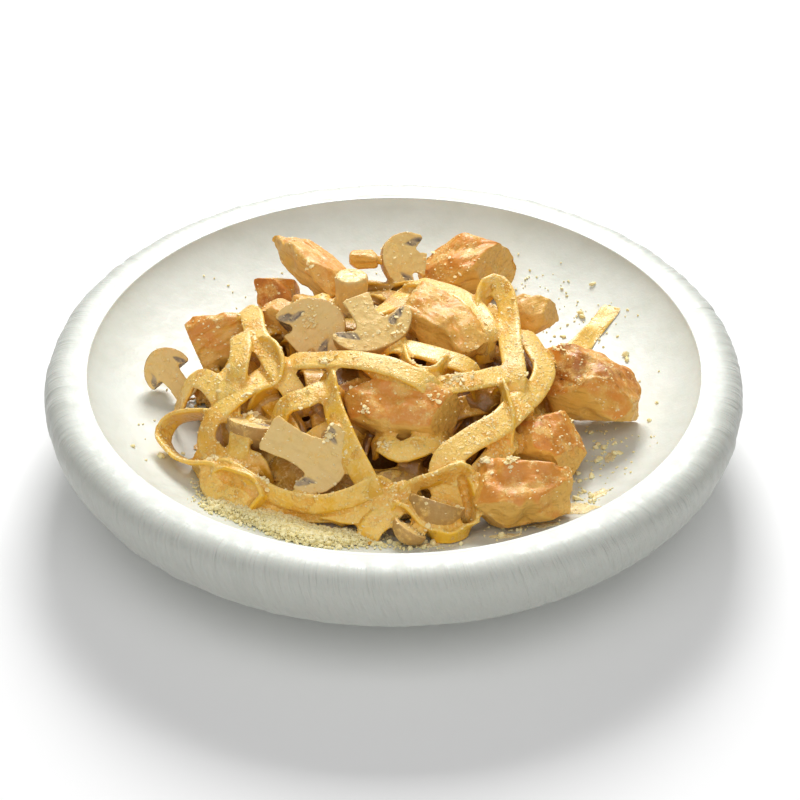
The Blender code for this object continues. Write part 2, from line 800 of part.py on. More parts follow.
def keep_main_body(piece):
    """Drop loose scraps and sealed hollows, and leave the one outer body."""
    form = bmesh.new()
    form.from_mesh(piece.data)
    left = set(form.faces)
    bodies = []
    while left:
        seed = left.pop()
        body = {seed}
        stack = [seed]
        while stack:
            for edge in stack.pop().edges:
                for face in edge.link_faces:
                    if face in left:
                        left.remove(face)
                        body.add(face)
                        stack.append(face)
        bodies.append(body)
    main = max(bodies, key=shell_volume)
    scraps = [face for body in bodies if body is not main for face in body]
    bmesh.ops.delete(form, geom=scraps, context="FACES")
    loose = [vertex for vertex in form.verts if not vertex.link_faces]
    bmesh.ops.delete(form, geom=loose, context="VERTS")
    form.to_mesh(piece.data)
    form.free()


def even_out(piece):
    """Close hairline gaps and slivers on a fine grid, then merge faces until few are left."""
    grid = piece.modifiers.new("Grid", "REMESH")
    grid.mode = "VOXEL"
    grid.voxel_size = HEAP_VOXEL * MM
    bake_in_place(piece)
    keep_main_body(piece)
    form = bmesh.new()
    form.from_mesh(piece.data)
    bmesh.ops.triangulate(form, faces=form.faces)
    form.to_mesh(piece.data)
    form.free()
    fewer = piece.modifiers.new("Fewer", "DECIMATE")
    fewer.ratio = HEAP_FACES / len(piece.data.polygons)
    bake_in_place(piece)


def build_noodles(toppings, collection, strands, cutters, material):
    """The heap: the core with every shown noodle joined on, cut round the toppings."""
    heap = build_core(collection)
    for noodle in (*NOODLES, *filler_noodles(toppings)):
        build_noodle(noodle, smooth_path(with_dives(noodle), NOODLE_STEP), strands)
    boolean(heap, "UNION", strands)
    empty_collection(strands)
    for topping in toppings * BED_PASSES:
        grown_copy(topping, BED_GAP, cutters)
        boolean(heap, "DIFFERENCE", cutters)
        empty_collection(cutters)
    even_out(heap)
    heap.data.materials.clear()
    heap.data.materials.append(material)
    shade_round(heap.data, 30)
    return heap


def build_cheese(collection, grains, material):
    """The low drift of grated cheese on the floor, with its largest grains on top."""
    draw = random.Random(CHEESE_SEED)
    form = bmesh.new()
    bmesh.ops.create_icosphere(form, subdivisions=3, radius=1.0)
    middle = (CHEESE_START_DEGREES + CHEESE_END_DEGREES) / 2
    half_angle = (CHEESE_END_DEGREES - CHEESE_START_DEGREES) / 2
    for vertex in form.verts:
        unit = vertex.co.copy()
        angle = math.radians(middle + half_angle * unit.x)
        radius = CHEESE_RADIUS + CHEESE_HALF_WIDTH * unit.y + CHEESE_WAVE * math.sin(5 * unit.x)
        height = floor_height(radius) + GAP
        if unit.z > 0:
            height += CHEESE_HEIGHT * unit.z * (0.75 + 0.5 * lumps(unit * 40, 9.0, 5).z)
        vertex.co = (radius * math.cos(angle), radius * math.sin(angle), height)
    cheese = finish_form("grated_cheese", form, collection, material)
    for index in range(CHEESE_GRAINS):
        angle = math.radians(middle + half_angle * draw.uniform(-0.8, 0.8))
        radius = CHEESE_RADIUS + CHEESE_HALF_WIDTH * draw.uniform(-0.55, 0.55)
        size = draw.uniform(*GRAIN_RADII)
        grain = bmesh.new()
        bmesh.ops.create_icosphere(grain, subdivisions=1, radius=size)
        height = floor_height(radius) + CHEESE_HEIGHT * 0.85
        spot = Vector((radius * math.cos(angle), radius * math.sin(angle), height))
        bmesh.ops.translate(grain, verts=grain.verts, vec=spot)
        finish_form(f"grain_{index}", grain, grains, None)
    boolean(cheese, "UNION", grains)
    empty_collection(grains)
    keep_main_body(cheese)
    return cheese


def main():
    """Build the bowl and all that is in it."""
    clear_scene()
    parts = new_collection("fettuccine_alfredo")
    strands = new_collection("noodle_strands")
    cutters = new_collection("cutters")
    glaze = new_material("bowl_glaze", (0.86, 0.87, 0.83), 0.5)
    pasta = new_material("sauced_noodles", (0.80, 0.58, 0.28), 0.35)
    meat = new_material("seared_chicken", (0.72, 0.45, 0.22), 0.45)
    mushroom = new_material("cut_mushroom", (0.66, 0.53, 0.34), 0.45)
    cheese = new_material("grated_cheese", (0.88, 0.80, 0.52), 0.7)
    build_bowl(parts, glaze)
    toppings = [build_chunk(chunk, parts, meat) for chunk in CHICKEN]
    toppings += [build_cut(cut, parts, mushroom) for cut in MUSHROOMS]
    toppings.append(build_stem_piece(parts, mushroom))
    toppings.append(build_cheese(parts, strands, cheese))
    build_noodles(toppings, parts, strands, cutters, pasta)


main()
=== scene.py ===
"""Looks of a bowl of fettuccine alfredo with chicken and mushrooms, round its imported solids.

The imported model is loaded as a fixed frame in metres. Sizes, places and routes in this file are
in millimetres and are scaled by MM as each mesh is made. The origin is the middle of the bowl's
foot, on the table, with +X to the right and the shown front towards -Y.
"""

import logging
import math
import random
from collections.abc import Callable
from dataclasses import dataclass, field
from enum import Enum

import bmesh
import bpy
import numpy as np
from mathutils import Matrix, Vector, noise
from mathutils.bvhtree import BVHTree

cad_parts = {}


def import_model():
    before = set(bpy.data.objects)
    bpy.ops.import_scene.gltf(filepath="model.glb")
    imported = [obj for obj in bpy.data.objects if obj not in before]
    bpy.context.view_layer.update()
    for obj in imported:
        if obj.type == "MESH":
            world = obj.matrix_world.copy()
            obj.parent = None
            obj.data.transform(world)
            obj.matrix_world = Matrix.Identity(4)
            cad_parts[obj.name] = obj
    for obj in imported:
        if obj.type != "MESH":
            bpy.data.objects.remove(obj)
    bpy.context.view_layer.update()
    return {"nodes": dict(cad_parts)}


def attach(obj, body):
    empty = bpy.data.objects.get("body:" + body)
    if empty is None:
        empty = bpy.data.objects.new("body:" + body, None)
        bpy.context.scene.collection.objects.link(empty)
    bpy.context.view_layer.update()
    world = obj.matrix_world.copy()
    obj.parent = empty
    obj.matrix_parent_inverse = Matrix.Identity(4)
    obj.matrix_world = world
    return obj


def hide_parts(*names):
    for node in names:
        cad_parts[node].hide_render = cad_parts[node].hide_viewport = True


LOG = logging.getLogger("fettuccine_alfredo")
MM = 0.001
BODY = "root"

Pair = tuple[float, float]
Point = tuple[float, float, float]
Colour = tuple[float, float, float]
Spot = tuple[Vector, float]
Surface = Callable[[float, float], float]
Piece = bpy.types.Object
Socket = bpy.types.NodeSocket


class Slot(Enum):
    """The record's material slots."""

    GLAZE = "bowl_glaze"
    NOODLES = "sauced_noodles"
    CHICKEN = "seared_chicken"
    MUSHROOM = "cut_mushroom"
    CHEESE = "grated_cheese"


def clear_selection() -> None:
    """Leave edit mode and deselect everything."""
    if bpy.context.object and bpy.context.object.mode != "OBJECT":
        bpy.ops.object.mode_set(mode="OBJECT")
    bpy.ops.object.select_all(action="DESELECT")


def make_active(piece: Piece) -> None:
    """Select one piece alone and make it the active one.

    Args:
        piece: The object to select.
    """
    clear_selection()
    piece.select_set(True)
    bpy.context.view_layer.objects.active = piece


def named(name: str) -> Piece:
    """Give the newly added, active object and its data a name, and return it.

    Args:
        name: The new name.

    Returns:
        The active object.
    """
    piece = bpy.context.object
    piece.name = name
    piece.data.name = name
    return piece


def worked(piece: Piece, kind: str, **settings: object) -> None:
    """Add a modifier to a piece and apply it.

    Args:
        piece: The mesh object to work on.
        kind: Blender's name for the kind of modifier.
        settings: The modifier's values.
    """
    make_active(piece)
    modifier = piece.modifiers.new(kind.title(), kind)
    for name, value in settings.items():
        setattr(modifier, name, value)
    bpy.ops.object.modifier_apply(modifier=modifier.name)


def read_points(piece: Piece) -> np.ndarray:
    """Return a piece's vertices as rows of millimetres.

    Args:
        piece: The mesh object.

    Returns:
        One row for each vertex.
    """
    flat = np.zeros(len(piece.data.vertices) * 3, np.float32)
    piece.data.vertices.foreach_get("co", flat)
    return flat.reshape(-1, 3).astype(float) / MM


def read_normals(piece: Piece) -> np.ndarray:
    """Return a piece's vertex normals as rows.

    Args:
        piece: The mesh object.

    Returns:
        One row for each vertex.
    """
    flat = np.zeros(len(piece.data.vertices) * 3, np.float32)
    piece.data.vertex_normals.foreach_get("vector", flat)
    return flat.reshape(-1, 3).astype(float)


def write_points(piece: Piece, points: np.ndarray) -> None:
    """Set a piece's vertices from rows of millimetres."""
    piece.data.vertices.foreach_set("co", (points * MM).astype(np.float32).ravel())
    piece.data.update()


def paint(piece: Piece, name: str, values: np.ndarray) -> None:
    """Store one number, or one vector, for each vertex under a name that materials read.

    Args:
        piece: The mesh object.
        name: The name that materials read.
        values: One number or one row for each vertex.
    """
    kind = "FLOAT" if values.ndim == 1 else "FLOAT_VECTOR"
    layer = piece.data.attributes.new(name, kind, "POINT")
    layer.data.foreach_set("value" if values.ndim == 1 else "vector", values.astype(np.float32).ravel())


def mesh_piece(name: str, points: np.ndarray, faces: list[tuple[int, ...]]) -> Piece:
    """Make an object from rows of millimetres and faces.

    Args:
        name: The piece's name.
        points: One row for each vertex.
        faces: Vertex numbers of each face.

    Returns:
        The new object, at the origin.
    """
    mesh = bpy.data.meshes.new(name)
    mesh.from_pydata((points * MM).tolist(), [], faces)
    piece = bpy.data.objects.new(name, mesh)
    bpy.context.scene.collection.objects.link(piece)
    return piece


def join_pieces(name: str, pieces: list[Piece]) -> Piece:
    """Join pieces into the first one, under a new name, and return it.

    Args:
        name: The joined piece's name.
        pieces: The mesh objects, of which the first one stays.

    Returns:
        The joined piece.
    """
    clear_selection()
    for piece in pieces:
        piece.select_set(True)
    bpy.context.view_layer.objects.active = pieces[0]
    bpy.ops.object.join()
    return named(name)


def copied(piece: Piece, name: str) -> Piece:
    """Return a copy of a piece with its own mesh.

    Args:
        piece: The mesh object.
        name: The copy's name.

    Returns:
        The copy.
    """
    twin = bpy.data.objects.new(name, piece.data.copy())
    bpy.context.scene.collection.objects.link(twin)
    return twin


def fix_normals(piece: Piece) -> None:
    """Turn every face outwards.

    Args:
        piece: The mesh object.
    """
    make_active(piece)
    bpy.ops.object.mode_set(mode="EDIT")
    bpy.ops.mesh.select_all(action="SELECT")
    bpy.ops.mesh.normals_make_consistent(inside=False)
    bpy.ops.object.mode_set(mode="OBJECT")


def turned_form(name: str, section: list[Pair], steps: int) -> Piece:
    """Draw a section point by point and turn it once round the upright axis into a closed form.

    Args:
        name: The piece's name.
        section: Radius and height of each point.
        steps: How many steps the turn has.

    Returns:
        The turned piece.
    """
    clear_selection()
    bpy.ops.mesh.primitive_plane_add(size=MM)
    piece = named(name)
    bpy.ops.object.mode_set(mode="EDIT")
    bpy.ops.mesh.select_all(action="SELECT")
    bpy.ops.mesh.merge(type="CENTER")
    route = [Vector((radius, 0.0, height)) * MM for radius, height in section]
    bpy.ops.transform.translate(value=route[0])
    for start, end in zip(route, route[1:]):
        bpy.ops.mesh.extrude_region_move(TRANSFORM_OT_translate={"value": end - start})
    bpy.ops.object.mode_set(mode="OBJECT")
    worked(
        piece, "SCREW", angle=math.tau, steps=steps, render_steps=steps, axis="Z",
        use_merge_vertices=True, merge_threshold=0.01 * MM,
    )
    fix_normals(piece)
    return piece


def search_tree(piece: Piece) -> BVHTree:
    """A search tree of a piece's faces, in millimetres."""
    rows = [Vector(row) for row in read_points(piece)]
    return BVHTree.FromPolygons(rows, [tuple(face.vertices) for face in piece.data.polygons])


def shade(piece: Piece, degrees: float = 180.0) -> None:
    """Shade a piece smooth, with edges sharper than an angle left hard.

    Args:
        piece: The mesh object.
        degrees: The angle from which an edge stays hard.
    """
    make_active(piece)
    if degrees >= 180.0:
        bpy.ops.object.shade_smooth()
    else:
        bpy.ops.object.shade_smooth_by_angle(angle=math.radians(degrees))


def place_as(piece: Piece, slot: Slot, material: bpy.types.Material, *nodes: str) -> None:
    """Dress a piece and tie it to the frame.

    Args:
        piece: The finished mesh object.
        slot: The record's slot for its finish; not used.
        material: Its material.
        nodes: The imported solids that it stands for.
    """
    piece.data.materials.clear()
    piece.data.materials.append(material)
    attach(piece, BODY)
    if nodes:
        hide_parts(*nodes)
    LOG.info("%s: %d faces, stands for %s", piece.name, len(piece.data.polygons), nodes or "nothing")


def smoothstep(low: float, high: float, value: np.ndarray) -> np.ndarray:
    """Rise smoothly from 0 at one value to 1 at another."""
    share = np.clip((value - low) / (high - low), 0.0, 1.0)
    return share * share * (3.0 - 2.0 * share)


def seed_shift(seed: float) -> Point:
    """How far a seed moves the place where noise is read, so that no two seeds look alike."""
    return seed * 7.31, seed * 3.17, seed * 5.03


def lump(point: Vector, length: float, seed: float) -> float:
    """One smooth, repeatable noise value for a point, with waves about as long as given."""
    return noise.noise(point / length + Vector(seed_shift(seed)))


def lumps(point: Vector, length: float, seed: float) -> Vector:
    """A smooth, repeatable push for a point, in three directions.

    Args:
        point: Where to read it.
        length: Wave length.
        seed: Chooses the pattern.

    Returns:
        The push.
    """
    start = point / length + Vector(seed_shift(seed))
    shifts = (Vector((0.0, 0.0, 0.0)), Vector((31.4, 0.0, 12.7)), Vector((0.0, 47.9, 23.1)))
    return Vector([noise.noise(start + shift) for shift in shifts])


def lump_field(points: np.ndarray, length: float | Point, seed: float) -> np.ndarray:
    """Noise for every row of points, with one wave length or one for each axis."""
    scaled = points / np.asarray(length) + np.array(seed_shift(seed))
    return np.array([noise.noise(Vector(row)) for row in scaled])


def frame_of(first: Point, last: Point) -> Matrix:
    """Rotation whose X axis is the first direction and whose Z axis leans to the last one.

    Args:
        first: Direction of its X axis.
        last: Direction that its Z axis leans to.

    Returns:
        The rotation.
    """
    x_axis = Vector(first).normalized()
    z_axis = Vector(last)
    z_axis = (z_axis - x_axis * z_axis.dot(x_axis)).normalized()
    y_axis = z_axis.cross(x_axis)
    return Matrix((x_axis, y_axis, z_axis)).transposed()


def turned(points: np.ndarray, turn: Matrix, shift: Point) -> np.ndarray:
    """Rotate rows of points and move them."""
    return points @ np.array(turn).T + np.array(shift)


def smooth_path(points: list[Vector], step: float) -> list[Vector]:
    """Points about a step apart on a smooth curve through the given ones.

    Args:
        points: The points that the curve goes through.
        step: About how far apart the new points are.

    Returns:
        The new points, with the first and the last given one.
    """
    route = [2 * points[0] - points[1], *points, 2 * points[-1] - points[-2]]
    path = []
    for before, start, end, after in zip(route, route[1:], route[2:], route[3:]):
        count = max(1, round((end - start).length / step))
        for index in range(count):
            t = index / count
            path.append(
                0.5 * (
                    2 * start
                    + (end - before) * t
                    + (2 * before - 5 * start + 4 * end - after) * t * t
                    + (3 * start - before - 3 * end + after) * t ** 3
                )
            )
    path.append(route[-2])
    return path


class Sheet:
    """A material's shader network, written from left to right."""

    def __init__(self, name: str) -> None:
        """Start a material with its Principled shader and its object coordinates.

        Args:
            name: The material's name.
        """
        self.material = bpy.data.materials.new(name)
        self.material.use_nodes = True
        self.tree = self.material.node_tree
        self.shader = self.tree.nodes["Principled BSDF"]
        self.place = self.node("ShaderNodeTexCoord").outputs["Object"]

    def node(self, kind: str, **settings: object) -> bpy.types.Node:
        """Add a node and set its properties.

        Args:
            kind: Blender's name for the kind of node.
            settings: The node's properties.

        Returns:
            The new node.
        """
        made = self.tree.nodes.new(kind)
        for name, value in settings.items():
            setattr(made, name, value)
        return made

    def feed(self, socket: Socket, value: object) -> None:
        """Link a socket to another node's output, or set its number or colour.

        Args:
            socket: The socket to fill.
            value: Another node's output, a number or a colour.
        """
        if isinstance(value, Socket):
            self.tree.links.new(value, socket)
        elif isinstance(value, tuple) and len(value) == 3 and socket.type == "RGBA":
            socket.default_value = (*value, 1.0)
        else:
            socket.default_value = value

    def painted(self, name: str) -> Socket:
        """The number that a mesh stores under a name."""
        return self.node("ShaderNodeAttribute", attribute_name=name).outputs["Fac"]

    def painted_vector(self, name: str) -> Socket:
        """The vector that a mesh stores under a name."""
        return self.node("ShaderNodeAttribute", attribute_name=name).outputs["Vector"]

    def stretched(self, vector: Socket, scale: Point) -> Socket:
        """A vector scaled by a factor on each axis.

        Args:
            vector: The vector.
            scale: The factors.

        Returns:
            The scaled vector.
        """
        mapping = self.node("ShaderNodeMapping")
        self.feed(mapping.inputs["Vector"], vector)
        mapping.inputs["Scale"].default_value = scale
        return mapping.outputs["Vector"]

    def grain(
        self,
        length: float,
        detail: float = 3.0,
        roughness: float = 0.5,
        vector: Socket | None = None,
        unit: float = MM,
    ) -> Socket:
        """Noise with waves about as long as given.

        Args:
            length: Wave length, in millimetres.
            detail: How many finer layers it has.
            roughness: How strong those layers are.
            vector: Where to read it, or the object's coordinates.
            unit: Size of a millimetre in that vector.

        Returns:
            The noise's value socket.
        """
        made = self.node("ShaderNodeTexNoise")
        self.feed(made.inputs["Vector"], vector or self.place)
        made.inputs["Scale"].default_value = 1.0 / (length * unit)
        made.inputs["Detail"].default_value = detail
        made.inputs["Roughness"].default_value = roughness
        return made.outputs["Fac"]

    def math(self, operation: str, first: object, second: object = 0.0) -> Socket:
        """Combine two numbers.

        Args:
            operation: Blender's name for what is done.
            first: The first number.
            second: The second number.

        Returns:
            The result.
        """
        made = self.node("ShaderNodeMath", operation=operation)
        self.feed(made.inputs[0], first)
        self.feed(made.inputs[1], second)
        return made.outputs["Value"]

    def times(self, first: object, second: object) -> Socket:
        """Multiply two numbers."""
        return self.math("MULTIPLY", first, second)

    def plus(self, first: object, second: object) -> Socket:
        """Add two numbers."""
        return self.math("ADD", first, second)

    def spread(
        self, value: object, low: float, high: float, start: float = 0.0, end: float = 1.0
    ) -> Socket:
        """Map a value that rises from low to high smoothly onto start to end.

        Args:
            value: The value to map.
            low: Where it starts to rise.
            high: Where it stops.
            start: The result up to low.
            end: The result from high on.

        Returns:
            The mapped value.
        """
        made = self.node("ShaderNodeMapRange", interpolation_type="SMOOTHSTEP")
        self.feed(made.inputs["Value"], value)
        for name, number in (("From Min", low), ("From Max", high), ("To Min", start), ("To Max", end)):
            made.inputs[name].default_value = number
        return made.outputs["Result"]

    def blend(self, share: object, first: object, second: object) -> Socket:
        """Mix two colours.

        Args:
            share: How much of the second colour there is.
            first: The first colour.
            second: The second colour.

        Returns:
            The mixed colour.
        """
        made = self.node("ShaderNodeMix", data_type="RGBA")
        self.feed(made.inputs[0], share)
        self.feed(made.inputs[6], first)
        self.feed(made.inputs[7], second)
        return made.outputs[2]

    def upward(self) -> Socket:
        """How far the surface faces up, from -1 to 1.

        Returns:
            The Z part of the surface's direction.
        """
        parts = self.node("ShaderNodeSeparateXYZ")
        self.feed(parts.inputs[0], self.node("ShaderNodeNewGeometry").outputs["Normal"])
        return parts.outputs["Z"]

    def bump(self, height: object, depth: float, under: object = None) -> Socket:
        """Relief from a height between 0 and 1, as deep as given in millimetres.

        Args:
            height: The height, from 0 to 1.
            depth: How deep the relief is, in millimetres.
            under: Relief that this one lies on.

        Returns:
            The bent direction.
        """
        made = self.node("ShaderNodeBump")
        made.inputs["Distance"].default_value = depth * MM
        self.feed(made.inputs["Height"], height)
        if under is not None:
            self.feed(made.inputs["Normal"], under)
        return made.outputs["Normal"]

    def crumbed(self, colour: object, cover: object, pale: Colour) -> tuple[Socket, Socket]:
        """Sink fine grains and small clumps of grated cheese into a coat of sauce.

        Args:
            colour: The surface's colour without them.
            cover: Where the coat lies, from 0 to 1.
            pale: Their colour.

        Returns:
            The colour with them, and the relief that they give.
        """
        grit = self.grain(0.9, 3.0, 0.6)
        grains = self.times(self.spread(grit, 0.52, 0.68, 0.0, 0.85), cover)
        clumps = self.times(self.spread(self.grain(2.3, 3.0, 0.6), 0.53, 0.72), cover)
        colour = self.blend(grains, colour, pale)
        colour = self.blend(self.times(clumps, 0.7), colour, pale)
        relief = self.bump(self.times(grit, cover), 0.34)
        return colour, self.bump(clumps, 0.3, relief)

    def close(self, **values: object) -> bpy.types.Material:
        """Feed the Principled shader's sockets and return the material.

        Args:
            values: Socket names, with a low line for each space, and what goes in.

        Returns:
            The finished material.
        """
        for name, value in values.items():
            self.feed(self.shader.inputs[name.replace("_", " ")], value)
        return self.material


@dataclass(frozen=True)
class GlazeFinish:
    """Soft matte white glaze with a faint green warmth, painted darker on the rim's outer side as painted
    shade.
    """

    body: Colour = (0.71, 0.735, 0.67)
    shade: Colour = (0.65, 0.675, 0.60)
    # painted shade: the colour of the rim's shaded outer side
    outer: Colour = (0.50, 0.51, 0.465)

    def material(self) -> bpy.types.Material:
        """Build the glaze.

        Returns:
            The finished material.
        """
        sheet = Sheet("bowl_glaze")
        cloud = sheet.spread(sheet.grain(16.0, 5.0, 0.6), 0.35, 0.75)
        speck = sheet.spread(sheet.grain(0.9, 2.0), 0.62, 0.8, 0.0, 0.35)
        colour = sheet.blend(cloud, self.body, self.shade)
        colour = sheet.blend(speck, colour, self.shade)
        # Painted shade: the rim's wrinkled outer side is painted darker with the outer colour.
        colour = sheet.blend(sheet.times(sheet.painted("wrinkled_and_shaded"), 0.85), colour, self.outer)
        relief = sheet.bump(sheet.grain(1.3, 3.0, 0.6), 0.05)
        relief = sheet.bump(sheet.grain(7.0, 3.0), 0.2, relief)
        streaks = sheet.grain(2.3, 3.0, 0.6, sheet.painted_vector("wrinkle_place"), 1.0)
        streaks = sheet.times(sheet.spread(streaks, 0.3, 0.7), sheet.painted("wrinkled_and_shaded"))
        relief = sheet.bump(streaks, 0.34, relief)
        return sheet.close(
            Base_Color=colour,
            Roughness=sheet.spread(sheet.grain(5.0), 0.3, 0.7, 0.36, 0.52),
            Subsurface_Weight=0.06,
            Subsurface_Scale=0.002,
            Normal=relief,
        )


@dataclass(frozen=True)
class NoodleFinish:
    """Cooked egg pasta under cream: golden where bare, pale where the sauce clings and, partly as painted
    light, on upper faces; painted shade darkens it where it lies deep or low.
    """

    bare: Colour = (0.94, 0.52, 0.025)
    # painted shade: colour of noodles that lie deep or low in the heap
    deep: Colour = (0.40, 0.15, 0.006)
    cream: Colour = (0.95, 0.59, 0.12)
    pale: Colour = (0.99, 0.74, 0.28)

    def material(self) -> bpy.types.Material:
        """Build the noodle's surface.

        Returns:
            The finished material.
        """
        sheet = Sheet("sauced_noodle")
        # Upper faces get more cream and crumbs, partly for sauce lying there and partly as painted light on
        # the tops.
        coat = sheet.plus(sheet.times(sheet.upward(), 0.24), sheet.grain(8.0, 4.0, 0.65))
        coat = sheet.plus(coat, sheet.times(sheet.painted("tone"), 0.22))
        # Painted shade: where the noodles lie deep or low they keep less cream and turn dark golden brown.
        coat = sheet.math("SUBTRACT", coat, sheet.times(sheet.painted("depth"), 0.30))
        colour = sheet.blend(sheet.painted("depth"), self.bare, self.deep)
        covered = sheet.spread(coat, 0.53, 0.78)
        colour = sheet.blend(covered, colour, self.cream)
        colour, relief = sheet.crumbed(colour, sheet.spread(coat, 0.46, 0.78, 0.06, 0.95), self.pale)
        relief = sheet.bump(sheet.grain(3.2, 2.0), 0.45, relief)
        return sheet.close(
            Base_Color=colour,
            Roughness=sheet.spread(sheet.grain(2.5, 3.0), 0.3, 0.7, 0.26, 0.48),
            Subsurface_Weight=0.15,
            Subsurface_Radius=(1.0, 0.5, 0.12),
            Subsurface_Scale=0.002,
            Specular_IOR_Level=0.5,
            Coat_Weight=0.3,
            Coat_Roughness=0.3,
            Normal=relief,
        )


@dataclass(frozen=True)
class SauceFinish:
    """Cream sauce with finely grated cheese in it: satin, grainy and warm, with painted shade turning it dark
    brown deep in the heap.
    """

    name: str = "cream_sauce"
    cream: Colour = (0.94, 0.56, 0.11)
    warm: Colour = (0.80, 0.39, 0.03)
    # painted shade: colour of sauce deep in the heap
    deep: Colour = (0.16, 0.055, 0.003)
    pale: Colour = (0.99, 0.73, 0.27)

    def material(self) -> bpy.types.Material:
        """Build the sauce's surface.

        Returns:
            The finished material.
        """
        sheet = Sheet(self.name)
        colour = sheet.blend(sheet.spread(sheet.grain(6.0, 4.0, 0.6), 0.35, 0.65), self.warm, self.cream)
        # Painted shade: deep in the heap the sauce turns dark brown and carries fewer crumbs.
        colour = sheet.blend(sheet.painted("depth"), colour, self.deep)
        cover = sheet.spread(sheet.painted("depth"), 0.1, 0.7, 1.0, 0.1)
        colour, relief = sheet.crumbed(colour, cover, self.pale)
        relief = sheet.bump(sheet.grain(3.6, 2.0), 0.5, relief)
        return sheet.close(
            Base_Color=colour,
            Roughness=sheet.spread(sheet.grain(1.6, 3.0), 0.3, 0.7, 0.26, 0.5),
            Subsurface_Weight=0.15,
            Subsurface_Radius=(1.0, 0.5, 0.15),
            Subsurface_Scale=0.002,
            Specular_IOR_Level=0.5,
            Coat_Weight=0.3,
            Coat_Roughness=0.3,
            Normal=relief,
        )


@dataclass(frozen=True)
class ChickenFinish:
    """Seared chicken: pale fibrous cuts, orange to brown sear, and a film of sauce."""

    flesh: Colour = (0.80, 0.45, 0.085)
    fibre: Colour = (0.56, 0.27, 0.03)
    sear: Colour = (0.74, 0.28, 0.03)
    char: Colour = (0.44, 0.13, 0.014)
    film: Colour = (0.90, 0.54, 0.13)
    pale: Colour = (0.98, 0.73, 0.31)

    def material(self) -> bpy.types.Material:
        """Build the chicken's surface from its own painted place and sear.

        Returns:
            The finished material.
        """
        sheet = Sheet("seared_chicken")
        local = sheet.painted_vector("own_place")
        lines = sheet.grain(1.0, 3.0, 0.6, sheet.stretched(local, (0.09, 0.9, 0.9)), 1.0)
        colour = sheet.blend(sheet.spread(lines, 0.48, 0.70, 0.0, 0.75), self.flesh, self.fibre)
        patch = sheet.plus(sheet.painted("sear"), sheet.times(sheet.grain(5.0, 4.0, 0.7), 0.7))
        colour = sheet.blend(sheet.spread(patch, 0.62, 1.05), colour, self.sear)
        colour = sheet.blend(sheet.spread(patch, 1.08, 1.35, 0.0, 0.85), colour, self.char)
        veil = sheet.plus(sheet.grain(6.5, 4.0, 0.65), sheet.times(sheet.upward(), 0.12))
        coated = sheet.spread(veil, 0.55, 0.76, 0.0, 0.8)
        colour = sheet.blend(coated, colour, self.film)
        colour, relief = sheet.crumbed(colour, sheet.spread(veil, 0.50, 0.76, 0.12, 0.9), self.pale)
        relief = sheet.bump(lines, 0.20, relief)
        return sheet.close(
            Base_Color=colour,
            Roughness=sheet.spread(sheet.grain(2.0, 3.0), 0.3, 0.7, 0.34, 0.60),
            Subsurface_Weight=0.12,
            Subsurface_Radius=(1.0, 0.4, 0.12),
            Subsurface_Scale=0.002,
            Specular_IOR_Level=0.45,
            Coat_Weight=0.14,
            Coat_Roughness=0.35,
            Normal=relief,
        )


@dataclass(frozen=True)
class MushroomFinish:
    """Cooked mushroom: pale cut flesh, tan skin and dark gills, under a film of sauce."""

    flesh: Colour = (0.86, 0.60, 0.22)
    line: Colour = (0.62, 0.38, 0.10)
    skin: Colour = (0.50, 0.28, 0.08)
    gills: Colour = (0.11, 0.085, 0.075)
    gill_light: Colour = (0.50, 0.37, 0.22)
    film: Colour = (0.92, 0.58, 0.15)
    pale: Colour = (0.99, 0.78, 0.36)

    def material(self) -> bpy.types.Material:
        """Build the mushroom's surface from its painted skin and gills.

        Returns:
            The finished material.
        """
        sheet = Sheet("cut_mushroom")
        local = sheet.painted_vector("own_place")
        mottled = sheet.grain(4.0, 4.0, 0.6)
        lines = sheet.grain(1.6, 3.0, 0.6, sheet.stretched(local, (1.0, 1.0, 0.3)), 1.0)
        colour = sheet.blend(sheet.spread(lines, 0.40, 0.80, 0.0, 0.3), self.flesh, self.line)
        colour = sheet.blend(sheet.painted("skin"), colour, self.skin)
        colour = sheet.blend(sheet.spread(mottled, 0.48, 0.72, 0.0, 0.8), colour, self.film)
        rays = sheet.grain(1.6, 3.0, 0.6, sheet.stretched(local, (1.0, 1.0, 0.4)), 1.0)
        dark = sheet.blend(sheet.spread(rays, 0.30, 0.72), self.gills, self.gill_light)
        mask = sheet.plus(sheet.painted("gill"), sheet.times(mottled, 0.45))
        colour = sheet.blend(sheet.spread(mask, 0.42, 1.15, 0.0, 0.95), colour, dark)
        colour, relief = sheet.crumbed(colour, sheet.spread(mottled, 0.48, 0.72, 0.1, 0.9), self.pale)
        relief = sheet.bump(sheet.grain(3.0, 2.0), 0.4, relief)
        return sheet.close(
            Base_Color=colour,
            Roughness=sheet.spread(sheet.grain(2.5, 2.0), 0.3, 0.7, 0.30, 0.50),
            Subsurface_Weight=0.2,
            Subsurface_Radius=(1.0, 0.7, 0.4),
            Subsurface_Scale=0.002,
            Specular_IOR_Level=0.45,
            Normal=relief,
        )


@dataclass(frozen=True)
class CheeseFinish:
    """Dry grated hard cheese, pale with a green-yellow cast."""

    name: str = "grated_cheese"
    body: Colour = (0.93, 0.83, 0.48)
    deep: Colour = (0.85, 0.71, 0.31)

    def material(self) -> bpy.types.Material:
        """Build the cheese's surface.

        Returns:
            The finished material.
        """
        sheet = Sheet(self.name)
        colour = sheet.blend(sheet.spread(sheet.grain(1.8, 3.0), 0.35, 0.7), self.body, self.deep)
        return sheet.close(
            Base_Color=colour,
            Roughness=0.62,
            Subsurface_Weight=0.12,
            Subsurface_Radius=(1.0, 0.8, 0.4),
            Subsurface_Scale=0.001,
            Normal=sheet.bump(sheet.grain(0.5, 2.0), 0.08),
        )


